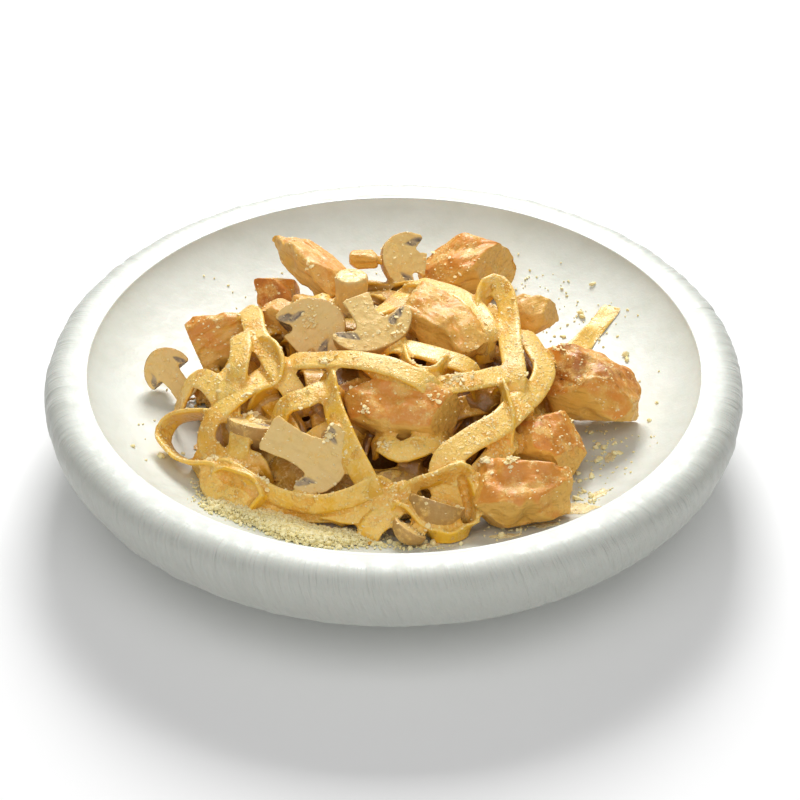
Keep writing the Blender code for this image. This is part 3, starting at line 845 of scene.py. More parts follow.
@dataclass
class Bowl:
    """The wide bowl with its thick rolled rim: turned section, wrinkled outer side and glaze."""

    steps: int = 640
    crest_height: float = 46.0
    mouth_radius: float = 114.0
    floor_depth: float = 24.0
    floor_flatness: float = 2.6
    floor_turn: float = 0.625
    rim_top_radius: float = 121.0
    rim_outer_radius: float = 130.0
    belly_drop: float = 9.0
    under_centre: float = 112.0
    under_drop: float = 20.0
    squareness: float = 2.4
    foot_outer: float = 56.0
    foot_inner: float = 48.0
    foot_height: float = 12.0
    crest_drops: tuple[Pair, ...] = ((114.3, 0.75), (115.3, 0.3), (116.8, 0.08), (118.8, 0.01))
    under_points: tuple[Pair, ...] = ((109.0, 17.9), (100.0, 17.9), (84.0, 17.0), (72.0, 14.8), (64.0, 12.6))
    wrinkled_radii: Pair = (118.0, 128.5)
    wrinkled_heights: Pair = (15.0, 20.0)
    wrinkle_lean: float = 0.0022
    wrinkle_stretch: float = 0.12
    wrinkle_depth: float = 0.55
    food_gap: float = 0.45
    finish: GlazeFinish = field(default_factory=GlazeFinish)

    def floor_curve(self, radius: float) -> float:
        """Height of the bowl's inside at a radius: flat in the middle, steep at the mouth."""
        reach = min(radius / self.mouth_radius, 1.0)
        return self.crest_height - self.floor_depth * (1.0 - reach ** self.floor_flatness) ** self.floor_turn

    def floor_at(self, x: float, y: float) -> float:
        """Height of the bowl's inside at a place."""
        return self.floor_curve(math.hypot(x, y))

    def floors_at(self, points: np.ndarray) -> np.ndarray:
        """Height of the bowl's inside under each row of points."""
        return np.array([self.floor_at(x, y) for x, y, _ in points])

    def settled(self, points: np.ndarray, rests: bool) -> np.ndarray:
        """Lift points that are too low clear of the bowl's floor, or bring them down to rest on it.

        Args:
            points: Rows of millimetres.
            rests: Whether they are also brought down to the floor.

        Returns:
            The moved points.
        """
        lift = self.food_gap - (points[:, 2] - self.floors_at(points)).min()
        if lift > 0 or rests:
            points[:, 2] += lift
        return points

    def section(self) -> list[Pair]:
        """The turned section, from the floor's middle over the rim and under it to the foot.

        Returns:
            Radius and height of each point.
        """
        floor_angles = [math.radians(degrees) for degrees in np.linspace(0, 87.5, 44)]
        floor_radii = [self.mouth_radius * math.sin(angle) for angle in floor_angles]
        points = [(radius, self.floor_curve(radius)) for radius in floor_radii]
        crest = self.crest_height
        points += [(radius, crest - drop) for radius, drop in self.crest_drops]
        rim_width = self.rim_outer_radius - self.rim_top_radius
        for degrees in np.linspace(90, 0, 19):
            angle = math.radians(degrees)
            out = abs(math.cos(angle)) ** (2 / self.squareness)
            up = math.sin(angle) ** (2 / self.squareness)
            points.append((self.rim_top_radius + rim_width * out, crest - self.belly_drop * (1 - up)))
        under_width = self.rim_outer_radius - self.under_centre
        for degrees in np.linspace(5, 78, 16):
            angle = math.radians(degrees)
            drop = self.belly_drop + self.under_drop * math.sin(angle)
            points.append((self.under_centre + under_width * math.cos(angle), crest - drop))
        points += self.under_points
        outer, inner, height = self.foot_outer, self.foot_inner, self.foot_height
        points += [(outer + 1.2, height - 0.4), (outer, height - 2.0), (outer - 0.6, 1.2), (outer - 1.6, 0.0)]
        points += [(inner + 1.6, 0.0), (inner + 0.6, 1.2), (inner, height - 1.0), (inner - 1.0, height)]
        return [*points, (0.0, height)]

    def build(self) -> Piece:
        """Turn the section into the bowl and press the wrinkles into its rim.

        Returns:
            The finished bowl.
        """
        bowl = turned_form("bowl_dressed", self.section(), self.steps)
        self.wrinkle(bowl)
        shade(bowl)
        return bowl

    def wrinkle(self, bowl: Piece) -> None:
        """Press fine upright wrinkles into the rim's outer side, never outwards.

        Args:
            bowl: The turned bowl.
        """
        points = read_points(bowl)
        normals = read_normals(bowl)
        radius = np.hypot(points[:, 0], points[:, 1])
        bearing = np.arctan2(points[:, 1], points[:, 0])
        lean = bearing + self.wrinkle_lean * points[:, 2]
        ring = np.column_stack((np.cos(lean), np.sin(lean), np.zeros(len(points)))) * self.rim_outer_radius
        ring[:, 2] = points[:, 2] * self.wrinkle_stretch
        outer = smoothstep(*self.wrinkled_radii, radius) * smoothstep(*self.wrinkled_heights, points[:, 2])
        rim = np.flatnonzero(outer > 0.0)
        folds = lump_field(ring[rim], 4.6, 3) * 0.9 + lump_field(ring[rim], 9.0, 4) * 0.5
        broad = lump_field(ring[rim], 38.0, 5)
        press = np.clip(0.5 + folds + 0.35 * broad, 0.0, 1.0) * self.wrinkle_depth * outer[rim]
        points[rim] -= normals[rim] * press[:, None]
        write_points(bowl, points)
        paint(bowl, "wrinkle_place", ring)
        # This mask also places the glaze's painted shade on the rim's outer side.
        paint(bowl, "wrinkled_and_shaded", outer)

    def dress(self) -> None:
        """Build the bowl and put it in place of its solid."""
        place_as(self.build(), Slot.GLAZE, self.finish.material(), "bowl")


@dataclass(frozen=True)
class Chunk:
    """One chunk of chicken: place, size, the way it points, its upper side, taper, sear and seed."""

    name: str
    centre: Point
    size: Point
    along: Point
    upward: Point
    tip: float
    sear: float
    seed: int
    rests: bool = False


CHICKEN = (
    Chunk(
        "chicken_back_tip", (-32, 44, 58), (46, 15, 13), (-0.62, 0.75, 0.14), (0.0, 0.25, 0.97),
        tip=0.75, sear=0.5, seed=1,
    ),
    Chunk(
        "chicken_back_left", (-45, 43, 43), (17, 16, 16), (0.95, -0.2, 0.1), (-0.2, -0.55, 0.8),
        tip=0.1, sear=0.9, seed=2,
    ),
    Chunk(
        "chicken_left_block", (-64, 6, 49), (27, 20, 22), (0.86, 0.45, 0.18), (-0.25, -0.25, 0.93),
        tip=0.0, sear=0.8, seed=3,
    ),
    Chunk(
        "chicken_back_right", (32, 66, 46), (42, 23, 24), (0.93, 0.3, 0.08), (-0.05, -0.2, 0.97),
        tip=0.55, sear=0.7, seed=4, rests=True,
    ),
    Chunk(
        "chicken_right_block", (71, -20, 44), (38, 26, 28), (0.93, -0.32, -0.05), (0.0, -0.25, 0.97),
        tip=0.2, sear=0.95, seed=5, rests=True,
    ),
    Chunk(
        "chicken_right_wedge", (55, -49, 44), (31, 22, 19), (0.86, -0.38, -0.3), (0.25, -0.25, 0.93),
        tip=0.35, sear=0.8, seed=6, rests=True,
    ),
    Chunk(
        "chicken_front_right", (43, -80, 42), (34, 24, 20), (0.97, 0.05, 0.12), (-0.05, -0.4, 0.9),
        tip=0.15, sear=0.75, seed=7, rests=True,
    ),
    Chunk(
        "chicken_middle", (1, -50, 57), (47, 21, 19), (0.95, -0.22, 0.0), (0.0, -0.35, 0.93),
        tip=0.15, sear=0.7, seed=8,
    ),
    Chunk(
        "chicken_top", (15, -1, 62), (48, 21, 15), (0.66, -0.75, 0.05), (0.1, 0.0, 1.0),
        tip=0.2, sear=0.5, seed=9,
    ),
    Chunk(
        "chicken_slice", (53, 11, 56), (19, 15, 14), (0.8, 0.45, 0.1), (0.1, -0.3, 0.95),
        tip=0.4, sear=0.3, seed=10,
    ),
    Chunk(
        "chicken_small", (-12, 42, 61), (11, 8, 7), (1.0, -0.1, 0.0), (0.0, 0.1, 1.0),
        tip=0.1, sear=0.6, seed=11,
    ),
    Chunk(
        "chicken_crumbly", (-33, 23, 51), (12, 9, 10), (0.9, -0.4, 0.0), (0.0, -0.4, 0.9),
        tip=0.0, sear=0.5, seed=12,
    ),
    Chunk(
        "chicken_tucked", (-42, 8, 57), (17, 12, 13), (0.6, -0.75, 0.1), (0.0, -0.2, 1.0),
        tip=0.1, sear=0.5, seed=13,
    ),
)


@dataclass
class Chicken:
    """All the chunks of chicken, torn and cut, with fibres, sear and flat cuts.

    Each swell is a share of the chunk's half width, a wave length and a step of the seed.
    """

    bowl: Bowl
    squareness: float = 5.0
    sag: float = 0.10
    tip_curve: float = 1.5
    swells: tuple[tuple[float, float, int], ...] = ((0.24, 11.0, 0), (0.10, 4.5, 40))
    cuts: int = 35
    small_cuts: int = 19
    small_size: float = 20.0
    flats: int = 9
    flat_depths: Pair = (0.08, 0.17)
    flat_sharpness: float = 0.97
    fibre_waves: Point = (16.0, 1.7, 1.7)
    fibre_relief: float = 0.22
    crumb_wave: float = 1.9
    crumb_relief: float = 0.16
    notch_waves: Point = (9.0, 4.5, 4.5)
    notch_depth: float = 0.7
    ridge_rounds: int = 12
    finish: ChickenFinish = field(default_factory=ChickenFinish)

    def form(self, chunk: Chunk, spots: np.ndarray) -> np.ndarray:
        """Round, taper, sag and swell a cube's points into one chunk.

        Args:
            chunk: The chunk's sizes.
            spots: Points on a cube from -1 to 1.

        Returns:
            The points in the chunk's own millimetres.
        """
        half = np.array(chunk.size) / 2
        rounding = (np.abs(spots) ** self.squareness).sum(1) ** (1 / self.squareness)
        spots = spots / rounding[:, None]
        narrowing = 1.0 - chunk.tip * np.maximum(0.0, spots[:, 0]) ** self.tip_curve
        points = spots * half
        points[:, 1:] *= narrowing[:, None]
        points[:, 2] -= self.sag * half[0] * spots[:, 0] ** 2
        for share, length, shift in self.swells:
            pushes = [lumps(Vector(point), length, chunk.seed + shift) for point in points]
            points = points + share * half[1] * np.array(pushes)
        return points

    def cut_flat(self, chunk: Chunk, points: np.ndarray) -> np.ndarray:
        """Slice a few flat faces off the chunk, as a knife leaves them.

        Args:
            chunk: The chunk, whose seed chooses the cuts.
            points: The chunk's points.

        Returns:
            The cut points.
        """
        draw = random.Random(chunk.seed)
        for _ in range(self.flats):
            normal = Vector((draw.uniform(-0.9, 0.9), draw.uniform(-1, 1), draw.uniform(-0.7, 1)))
            normal.normalize()
            reach = points @ np.array(normal)
            limit = reach.max() - draw.uniform(*self.flat_depths) * (reach.max() - reach.min())
            over = np.maximum(0.0, reach - limit)
            points = points - self.flat_sharpness * over[:, None] * np.array(normal)
        return points

    def tear(self, chunk: Chunk, points: np.ndarray, normals: np.ndarray) -> np.ndarray:
        """Add fibres along the chunk, crumbly grain and a few torn notches.

        Args:
            chunk: The chunk, whose seed chooses the pattern.
            points: The chunk's points.
            normals: Their outward directions.

        Returns:
            The torn points.
        """
        fibres = lump_field(points, self.fibre_waves, chunk.seed + 60)
        crumbs = lump_field(points, self.crumb_wave, chunk.seed + 70)
        notches = smoothstep(0.18, 0.5, lump_field(points, self.notch_waves, chunk.seed + 80))
        push = self.fibre_relief * fibres + self.crumb_relief * crumbs - self.notch_depth * notches
        return points + normals * push[:, None]

    def build(self, chunk: Chunk) -> Piece:
        """Make one chunk from a subdivided cube and set it in its place.

        Args:
            chunk: The chunk's sizes and place.

        Returns:
            The finished mesh.
        """
        clear_selection()
        bpy.ops.mesh.primitive_cube_add(size=2.0 * MM)
        piece = named(chunk.name + "_dressed")
        bpy.ops.object.mode_set(mode="EDIT")
        bpy.ops.mesh.select_all(action="SELECT")
        number = self.cuts if chunk.size[0] > self.small_size else self.small_cuts
        bpy.ops.mesh.subdivide(number_cuts=number)
        bpy.ops.object.mode_set(mode="OBJECT")
        points = self.cut_flat(chunk, self.form(chunk, read_points(piece)))
        write_points(piece, points)
        worked(piece, "SMOOTH", factor=0.5, iterations=1)
        normals = read_normals(piece)
        points = read_points(piece)
        rounder = copied(piece, chunk.name + "_rounder")
        worked(rounder, "SMOOTH", factor=0.5, iterations=self.ridge_rounds)
        ridge = ((points - read_points(rounder)) * normals).sum(1)
        bpy.data.objects.remove(rounder)
        points = self.tear(chunk, points, normals)
        sear = smoothstep(0.2, 0.95, normals[:, 2] + 0.3 * lump_field(points, 8.0, chunk.seed + 90))
        paint(piece, "sear", sear * chunk.sear + 0.35 * smoothstep(0.15, 0.9, ridge))
        paint(piece, "own_place", points)
        points = turned(points, frame_of(chunk.along, chunk.upward), chunk.centre)
        write_points(piece, self.bowl.settled(points, chunk.rests))
        shade(piece)
        return piece

    def dress(self) -> list[Piece]:
        """Build every chunk in place of its solid and return them.

        Returns:
            The dressed chunks.
        """
        material = self.finish.material()
        pieces = []
        for chunk in CHICKEN:
            piece = self.build(chunk)
            place_as(piece, Slot.CHICKEN, material, chunk.name)
            pieces.append(piece)
        return pieces


@dataclass(frozen=True)
class Cut:
    """One cut mushroom: cap middle on the cut face, its sizes, cap direction and face direction."""

    name: str
    place: Point
    cap: Pair
    stem: Pair
    axis: Point
    face: Point
    thickness: float
    seed: int
    rests: bool = False


MUSHROOMS = (
    Cut(
        "mushroom_far_left", (-84, -4, 43), cap=(9, 10), stem=(4.0, 12),
        axis=(-0.62, 0.35, 0.65), face=(0.1, -0.85, 0.5), thickness=12, seed=21, rests=True,
    ),
    Cut(
        "mushroom_top_slice", (-8, -17, 71), cap=(15.5, 11), stem=(5.0, 13),
        axis=(0.45, -0.8, -0.35), face=(0.08, -0.42, 0.9), thickness=5, seed=22,
    ),
    Cut(
        "mushroom_wedge", (-33, -13, 62), cap=(13, 17), stem=(5.0, 5),
        axis=(0.62, 0.35, 0.45), face=(0.1, -0.65, 0.75), thickness=13, seed=23,
    ),
    Cut(
        "mushroom_front_slice", (-27, -71, 52), cap=(13.5, 12), stem=(6.0, 19),
        axis=(0.86, -0.36, -0.32), face=(-0.05, -0.72, 0.68), thickness=7, seed=24,
    ),
    Cut(
        "mushroom_back_half", (8, 45, 58), cap=(12, 14), stem=(4.5, 5),
        axis=(-0.8, -0.15, 0.35), face=(0.45, -0.55, 0.7), thickness=12, seed=25,
    ),
    Cut(
        "mushroom_grey_cap", (-49, -47, 51), cap=(12, 10), stem=(4.5, 4),
        axis=(-0.75, -0.55, 0.3), face=(0.1, 0.35, 0.93), thickness=16, seed=26,
    ),
    Cut(
        "mushroom_front_cap", (6, -93, 37), cap=(6.5, 6), stem=(2.5, 3),
        axis=(-0.3, -0.8, 0.5), face=(0.5, 0.3, 0.8), thickness=8, seed=27, rests=True,
    ),
    Cut(
        "mushroom_loop_cap", (15, -84, 43), cap=(10, 9), stem=(4.0, 4),
        axis=(0.1, -0.75, 0.6), face=(0.3, 0.5, 0.75), thickness=16, seed=28,
    ),
)


@dataclass
class Mushrooms:
    """The cut mushrooms and the length of stem, with their gills."""

    bowl: Bowl
    steps: int = 48
    voxel: float = 0.55
    swell: float = 0.05
    gill_rays: float = 60.0
    gill_depth: float = 0.14
    stem_place: Point = (-16, 18, 60)
    stem_lean: Point = (-0.12, 0.1, 0.98)
    stem_size: Pair = (6.3, 17.0)
    stem_outline: tuple[Pair, ...] = (
        (0.0, 0.5), (0.92, 0.5), (1.0, 0.4), (0.94, 0.0), (1.02, -0.42), (0.9, -0.5), (0.0, -0.5),
    )
    finish: MushroomFinish = field(default_factory=MushroomFinish)

    def section(self, cap: Pair, stem: Pair) -> list[Pair]:
        """Section of a whole mushroom, down its outer side from the crown to the stem's end.

        Args:
            cap: The cap's radius and height.
            stem: The stem's radius and length.

        Returns:
            Radius and height of each point.
        """
        cap_radius, cap_height = cap
        stem_radius, stem_length = stem
        points = [(0.0, cap_height)]
        for degrees in range(80, -1, -8):
            angle = math.radians(degrees)
            points.append((cap_radius * math.cos(angle), cap_height * math.sin(angle)))
        return points + [
            (cap_radius * 0.97, -0.11 * cap_height),
            (cap_radius * 0.90, -0.17 * cap_height),
            (cap_radius * 0.78, -0.15 * cap_height),
            (cap_radius * 0.66, -0.10 * cap_height),
            (stem_radius * 1.15, 0.0),
            (stem_radius * 0.98, -0.22 * stem_length),
            (stem_radius * 0.95, -0.45 * stem_length),
            (stem_radius * 1.04, -0.75 * stem_length),
            (stem_radius * 1.12, -0.98 * stem_length),
            (stem_radius * 0.8, -1.03 * stem_length),
            (0.0, -1.03 * stem_length),
        ]

    def slice_off(self, piece: Piece, x: float, normal: Point) -> None:
        """Cut a piece with an upright plane and close the cut.

        Args:
            piece: The mesh object.
            x: Where the plane stands.
            normal: Direction of the side that is taken off.
        """
        make_active(piece)
        bpy.ops.object.mode_set(mode="EDIT")
        bpy.ops.mesh.select_all(action="SELECT")
        bpy.ops.mesh.bisect(plane_co=(x * MM, 0, 0), plane_no=normal, use_fill=True, clear_outer=True)
        bpy.ops.object.mode_set(mode="OBJECT")

    def evened(self, piece: Piece, rounds: int) -> tuple[np.ndarray, np.ndarray]:
        """Give a piece even faces and soft edges, and return its points and normals.

        Args:
            piece: The mesh object.
            rounds: How often its edges are softened.

        Returns:
            Its points and its normals.
        """
        worked(piece, "REMESH", mode="VOXEL", voxel_size=self.voxel * MM)
        worked(piece, "SMOOTH", factor=0.5, iterations=rounds)
        return read_points(piece), read_normals(piece)

    def coverings(self, cut: Cut, points: np.ndarray, normals: np.ndarray) -> tuple[np.ndarray, np.ndarray]:
        """Where a sliced mushroom shows its gills, and where its skin.

        Args:
            cut: The mushroom's sizes.
            points: Its points, with the cap's middle at the origin and the cut face towards +X.
            normals: Their outward directions.

        Returns:
            The gills and the skin, from 0 to 1.
        """
        cap_radius, cap_height = cut.cap
        radius = np.hypot(points[:, 0], points[:, 1])
        height = points[:, 2] / cap_height
        on_cut = smoothstep(0.75, 0.95, np.abs(normals[:, 0]))
        side = np.abs(points[:, 1]) / cap_radius
        wall = cut.stem[0] * 1.1 / cap_radius
        ragged = 0.10 * lump_field(points, 2.6, cut.seed + 55)
        crown = 0.60 * np.clip((0.95 - side) / (0.95 - wall), 0.0, 1.0) ** 0.8 - 0.14 + ragged
        band = smoothstep(wall - 0.02, wall + 0.12, side) * (1 - smoothstep(0.80, 0.94, side))
        below = crown - height
        cut_gill = on_cut * band * smoothstep(-0.10, 0.08, below) * (1 - 0.75 * smoothstep(0.16, 0.42, below))
        under = smoothstep(-0.35, -0.7, normals[:, 2]) * (1 - on_cut) * smoothstep(-0.5, -0.3, height)
        ring = smoothstep(1.05, 1.5, radius / cut.stem[0]) * (1 - smoothstep(0.86, 0.96, radius / cap_radius))
        skin = (1 - on_cut) * smoothstep(-0.15, 0.0, height) * smoothstep(-0.2, 0.2, normals[:, 2])
        return np.maximum(cut_gill, under * ring), skin

    def build(self, cut: Cut) -> Piece:
        """Turn a whole mushroom, slice it, carve its gills and set it in its place.

        Args:
            cut: The mushroom's sizes and place.

        Returns:
            The finished mesh.
        """
        piece = turned_form(cut.name + "_dressed", self.section(cut.cap, cut.stem), self.steps)
        self.slice_off(piece, 0.0, (1, 0, 0))
        if cut.thickness < cut.cap[0]:
            self.slice_off(piece, -cut.thickness, (-1, 0, 0))
        points, normals = self.evened(piece, 2)
        gill, skin = self.coverings(cut, points, normals)
        paint(piece, "gill", gill)
        paint(piece, "skin", skin)
        paint(piece, "own_place", points)
        LOG.info("%s: gills on %d of %d points", piece.name, (gill > 0.5).sum(), len(gill))
        rays = np.cos(np.arctan2(points[:, 0], points[:, 1]) * self.gill_rays)
        push = 0.16 * lump_field(points, 2.2, cut.seed + 50) - gill * (self.gill_depth + 0.06 * rays)
        pushes = np.array([lumps(Vector(point), 12.0, cut.seed) for point in points])
        points = points + self.swell * cut.cap[0] * pushes + normals * push[:, None]
        axis = Vector(cut.axis).normalized()
        face = Vector(cut.face)
        points = turned(points, frame_of(face - axis * face.dot(axis), axis), cut.place)
        write_points(piece, self.bowl.settled(points, cut.rests))
        shade(piece)
        return piece

    def build_stem(self) -> Piece:
        """The cut length of stem that stands on the heap.

        Returns:
            The finished mesh.
        """
        radius, length = self.stem_size
        section = [(radius * out, length * up) for out, up in self.stem_outline]
        piece = turned_form("mushroom_stem_dressed", section, self.steps)
        points, normals = self.evened(piece, 3)
        paint(piece, "gill", np.zeros(len(points)))
        paint(piece, "skin", 0.35 * (1 - smoothstep(0.6, 0.9, np.abs(normals[:, 2]))))
        paint(piece, "own_place", points)
        pushes = np.array([lumps(Vector(point), 9.0, 31) for point in points])
        streaks = lump_field(points, (1.6, 1.6, 12.0), 33)
        points = points + 0.5 * pushes + normals * 0.22 * streaks[:, None]
        points = turned(points, frame_of((1.0, 0.0, 0.0), self.stem_lean), self.stem_place)
        write_points(piece, self.bowl.settled(points, False))
        shade(piece)
        return piece

    def dress(self) -> list[Piece]:
        """Build every mushroom piece in place of its solid and return them.

        Returns:
            The dressed pieces.
        """
        material = self.finish.material()
        pieces = []
        for cut in MUSHROOMS:
            piece = self.build(cut)
            place_as(piece, Slot.MUSHROOM, material, cut.name)
            pieces.append(piece)
        stem = self.build_stem()
        place_as(stem, Slot.MUSHROOM, material, "mushroom_stem")
        return [*pieces, stem]


@dataclass(frozen=True)
class Strand:
    """One length of noodle: its roll off the heap's surface at both ends, and its route."""

    name: str
    rolls: Pair
    points: tuple[Point, ...]
    width: float = 8.5
    dives: tuple[bool, bool] = (True, True)


SHOWN_STRANDS = (
    Strand(
        "arch", (0, 0),
        ((-37, -29, 62), (-27, -33, 66), (-15, -38, 70), (-3, -43, 71), (5, -47, 70), (13, -50, 66)),
    ),
    Strand(
        "front_fall", (60, 0),
        ((-23, -41, 64), (-21, -54, 61), (-17, -66, 57), (-12, -75, 51), (-7, -82, 44)),
    ),
    Strand(
        "wide_bend", (0, 20),
        ((46, -44, 56), (37, -58, 57), (26, -67, 56), (18, -74, 53), (17, -79, 47), (19, -82, 40)),
        width=10.0,
    ),
    Strand(
        "u_loop", (90, 90),
        ((3, -85, 42), (11, -91, 37), (19, -95, 35), (26, -89, 36), (28, -84, 40), (26, -78, 46)),
        width=8.0,
    ),
    Strand(
        "hook", (80, 0),
        (
            (31, 0, 59), (33, 10, 64), (37, 13, 68), (41, 7, 67), (42, -4, 64), (42, -18, 63),
            (43, -34, 61), (42, -41, 57),
        ),
    ),
    Strand(
        "right_sweep", (0, 0),
        ((47, -5, 59), (52, -17, 58), (54, -27, 57), (49, -40, 56), (40, -51, 56)),
    ),
    Strand("cross", (0, 0), ((10, -47, 63), (20, -46, 65), (31, -41, 63.5), (43, -31, 58.5))),
    Strand(
        "rim_of_hollow", (80, 80),
        ((3, -24, 63), (5, -36, 65), (10, -42, 66), (15, -41, 66), (18, -34, 65)), width=7.5,
    ),
    Strand("hollow_arch", (0, 0), ((0, -22, 64), (9, -27, 66), (17, -31, 66), (27, -34, 63))),
    Strand("top_back", (0, 0), ((8, 25, 61), (17, 17, 64), (26, 9, 65), (32, -2, 64), (33, -12, 63))),
    Strand(
        "stray", (0, 10),
        ((86, 48, 34), (79, 38, 31.5), (71, 26, 30.5), (60, 12, 34), (52, 2, 42)),
        width=8.0, dives=(False, True),
    ),
    Strand(
        "left_fall", (0, 0),
        ((-57, 10, 57), (-53, 4, 61), (-50, -12, 63), (-45, -23, 62), (-40, -34, 61), (-35, -41, 57)),
    ),
    Strand("tab", (0, 0), ((-56, -12, 62), (-55, -22, 63), (-56, -33, 59))),
    Strand(
        "left_twist", (70, 70),
        ((-48, -17, 61), (-43, -22, 63), (-40, -30, 62), (-41, -37, 58), (-47, -38, 55)), width=7.5,
    ),
    Strand(
        "left_sash", (0, 20),
        ((-43, -28, 58), (-52, -37, 57), (-59, -43, 54), (-65, -48, 49), (-66, -53, 43), (-62, -58, 41)),
        width=10.0,
    ),
    Strand("left_arch", (0, 0), ((-76, -23, 44), (-72, -22, 50), (-66, -30, 54), (-61, -38, 52))),
    Strand("left_mid", (0, 0), ((-62, -24, 54), (-59, -36, 56), (-58, -45, 50))),
    Strand(
        "left_loop", (85, 85),
        (
            (-62, -42, 48), (-72, -38, 46), (-80, -35, 41), (-83, -40, 37), (-78, -50, 37), (-70, -57, 38),
            (-61, -62, 41),
        ),
        width=8.0,
    ),
    Strand("left_post", (0, 0), ((-53, -49, 51), (-54, -58, 48), (-54, -65, 43))),
    Strand("left_base", (0, 0), ((-67, -55, 40), (-58, -61, 42), (-49, -65, 45))),
    Strand("toe", (0, 0), ((-59, -62, 42), (-65, -64, 38), (-61, -71, 36), (-52, -77, 36))),
    Strand(
        "toe_loop", (85, 85),
        ((-47, -78, 37), (-44, -78, 41), (-47, -73, 44), (-53, -69, 44), (-60, -64, 41)), width=7.0,
    ),
    Strand(
        "long_front", (35, 25),
        ((-60, -63, 41), (-50, -72, 43), (-39, -79, 41), (-27, -83, 41), (-15, -83, 44), (-5, -79, 46)),
        width=7.5,
    ),
    Strand("under_front", (20, 0), ((-46, -75, 36), (-34, -80, 35), (-20, -82, 36)), width=6.5),
    Strand(
        "front_flat", (-20, 0),
        ((-24, -81, 37), (-15, -85, 38), (-6, -85, 41), (4, -81, 46)), width=7.0,
    ),
    Strand("front_tail", (20, 0), ((4, -82, 44), (-2, -87, 40), (-8, -91, 36))),
    Strand("bridge", (60, 60), ((5, -81, 46), (14, -80, 50), (24, -77, 51)), width=7.0),
    Strand("stub", (0, 0), ((-38, -50, 58), (-31, -49, 61), (-22, -44, 62))),
    Strand("thread", (85, 85), ((38, -40, 61), (40, -49, 59), (41, -55, 56), (40, -61, 51)), width=5.0),
    Strand("right_low", (0, 0), ((41, -59, 51), (34, -69, 49), (27, -77, 45))),
    Strand("curl", (0, 0), ((-4, -64, 53), (2, -69, 53), (9, -67, 54), (16, -62, 53))),
)


@dataclass
class HeapForm:
    """The smooth form of the heap and the core inside it, which the noodles lie on.

    What lies deep is painted darker, as painted shade. The deep_* fields say between which depths, heights
    and shares of the core's radius that painted shade comes or fades.
    """

    bowl: Bowl
    half_length: float = 90.0
    half_width: float = 84.0
    centre_y: float = -8.0
    foot: float = 30.0
    rise: float = 34.0
    flatness: float = 2.6
    turn: float = 0.7
    core_centre: Pair = (-5.0, -9.0)
    core_radius: float = 71.0
    core_depth: float = 6.0
    edge_wave: float = 0.12
    core_swell: float = 1.5
    steepest: float = 1.6
    deep_depths: Pair = (-1.0, 13.5)
    deep_edge: Pair = (0.76, 0.94)
    deep_edge_fade: float = 0.8
    deep_heights: Pair = (55.0, 40.0)
    deep_low: float = 0.6
    deep_outside: Pair = (1.0, 1.12)

    def height(self, x: float, y: float) -> float:
        """Height of the smooth heap at a place."""
        reach = min(math.hypot(x / self.half_length, (y - self.centre_y) / self.half_width), 1.0)
        return self.foot + self.rise * (1.0 - reach ** self.flatness) ** self.turn

    def edge(self, x: float, y: float) -> float:
        """Radius of the core's uneven edge, towards a place.

        Args:
            x: Where it is along X.
            y: Where it is along Y.

        Returns:
            The radius.
        """
        bearing = math.atan2(y - self.core_centre[1], x - self.core_centre[0])
        wave = lump(Vector((2.0 * math.cos(bearing), 2.0 * math.sin(bearing), 0.0)), 1.0, 17)
        return self.core_radius * (1.0 - self.edge_wave * (0.5 + wave))

    def reach(self, points: np.ndarray) -> np.ndarray:
        """How far out each point lies, as a share of the core's radius."""
        across = points[:, :2] - np.array(self.core_centre)
        return np.hypot(across[:, 0], across[:, 1]) / self.core_radius

    def depth(self, points: np.ndarray) -> np.ndarray:
        """How deep in the heap each point lies, from 0 to 1, fading out at the heap's open edge; it places
        painted shade.

        Args:
            points: Rows of millimetres.

        Returns:
            One depth for each row.
        """
        smooth = np.array([self.height(x, y) for x, y, _ in points])
        open_edge = smoothstep(*self.deep_edge, self.reach(points))
        return smoothstep(*self.deep_depths, smooth - points[:, 2]) * (1.0 - self.deep_edge_fade * open_edge)

    def noodle_painted_shade(self, points: np.ndarray) -> np.ndarray:
        """Painted shade for noodles: as depth, and also where they lie low, but not past the core's edge.

        Args:
            points: Rows of millimetres.

        Returns:
            One depth for each row.
        """
        inside = 1.0 - smoothstep(*self.deep_outside, self.reach(points))
        low = self.deep_low * smoothstep(*self.deep_heights, points[:, 2]) * inside
        return np.maximum(self.depth(points), low)

    def core(self, x: float, y: float) -> float:
        """Top of the core at a place: below the smooth heap, and down to the floor at its edge.

        Args:
            x: Where it is along X.
            y: Where it is along Y.

        Returns:
            The height.
        """
        reach = math.hypot(x - self.core_centre[0], y - self.core_centre[1]) / self.edge(x, y)
        ground = self.bowl.floor_at(x, y) + self.bowl.food_gap
        swell = self.core_swell * lumps(Vector((x, y, 0.0)), 14.0, 3).z
        rise = self.height(x, y) - self.core_depth - ground + swell
        return ground + max(rise, 0.0) * math.sqrt(max(0.0, 1.0 - reach ** 4))

    def outward(self, surface: Surface, x: float, y: float, probe: float = 2.0) -> Vector:
        """Outward direction of a surface at a place, from its slope there.

        Args:
            surface: The height function.
            x: Where it is along X.
            y: Where it is along Y.
            probe: How far from it the slope is felt.

        Returns:
            The direction, never leaning too far.
        """
        slope = Vector((
            (surface(x + probe, y) - surface(x - probe, y)) / (2 * probe),
            (surface(x, y + probe) - surface(x, y - probe)) / (2 * probe),
        ))
        if slope.length > self.steepest:
            slope *= self.steepest / slope.length
        return Vector((-slope.x, -slope.y, 1.0)).normalized()


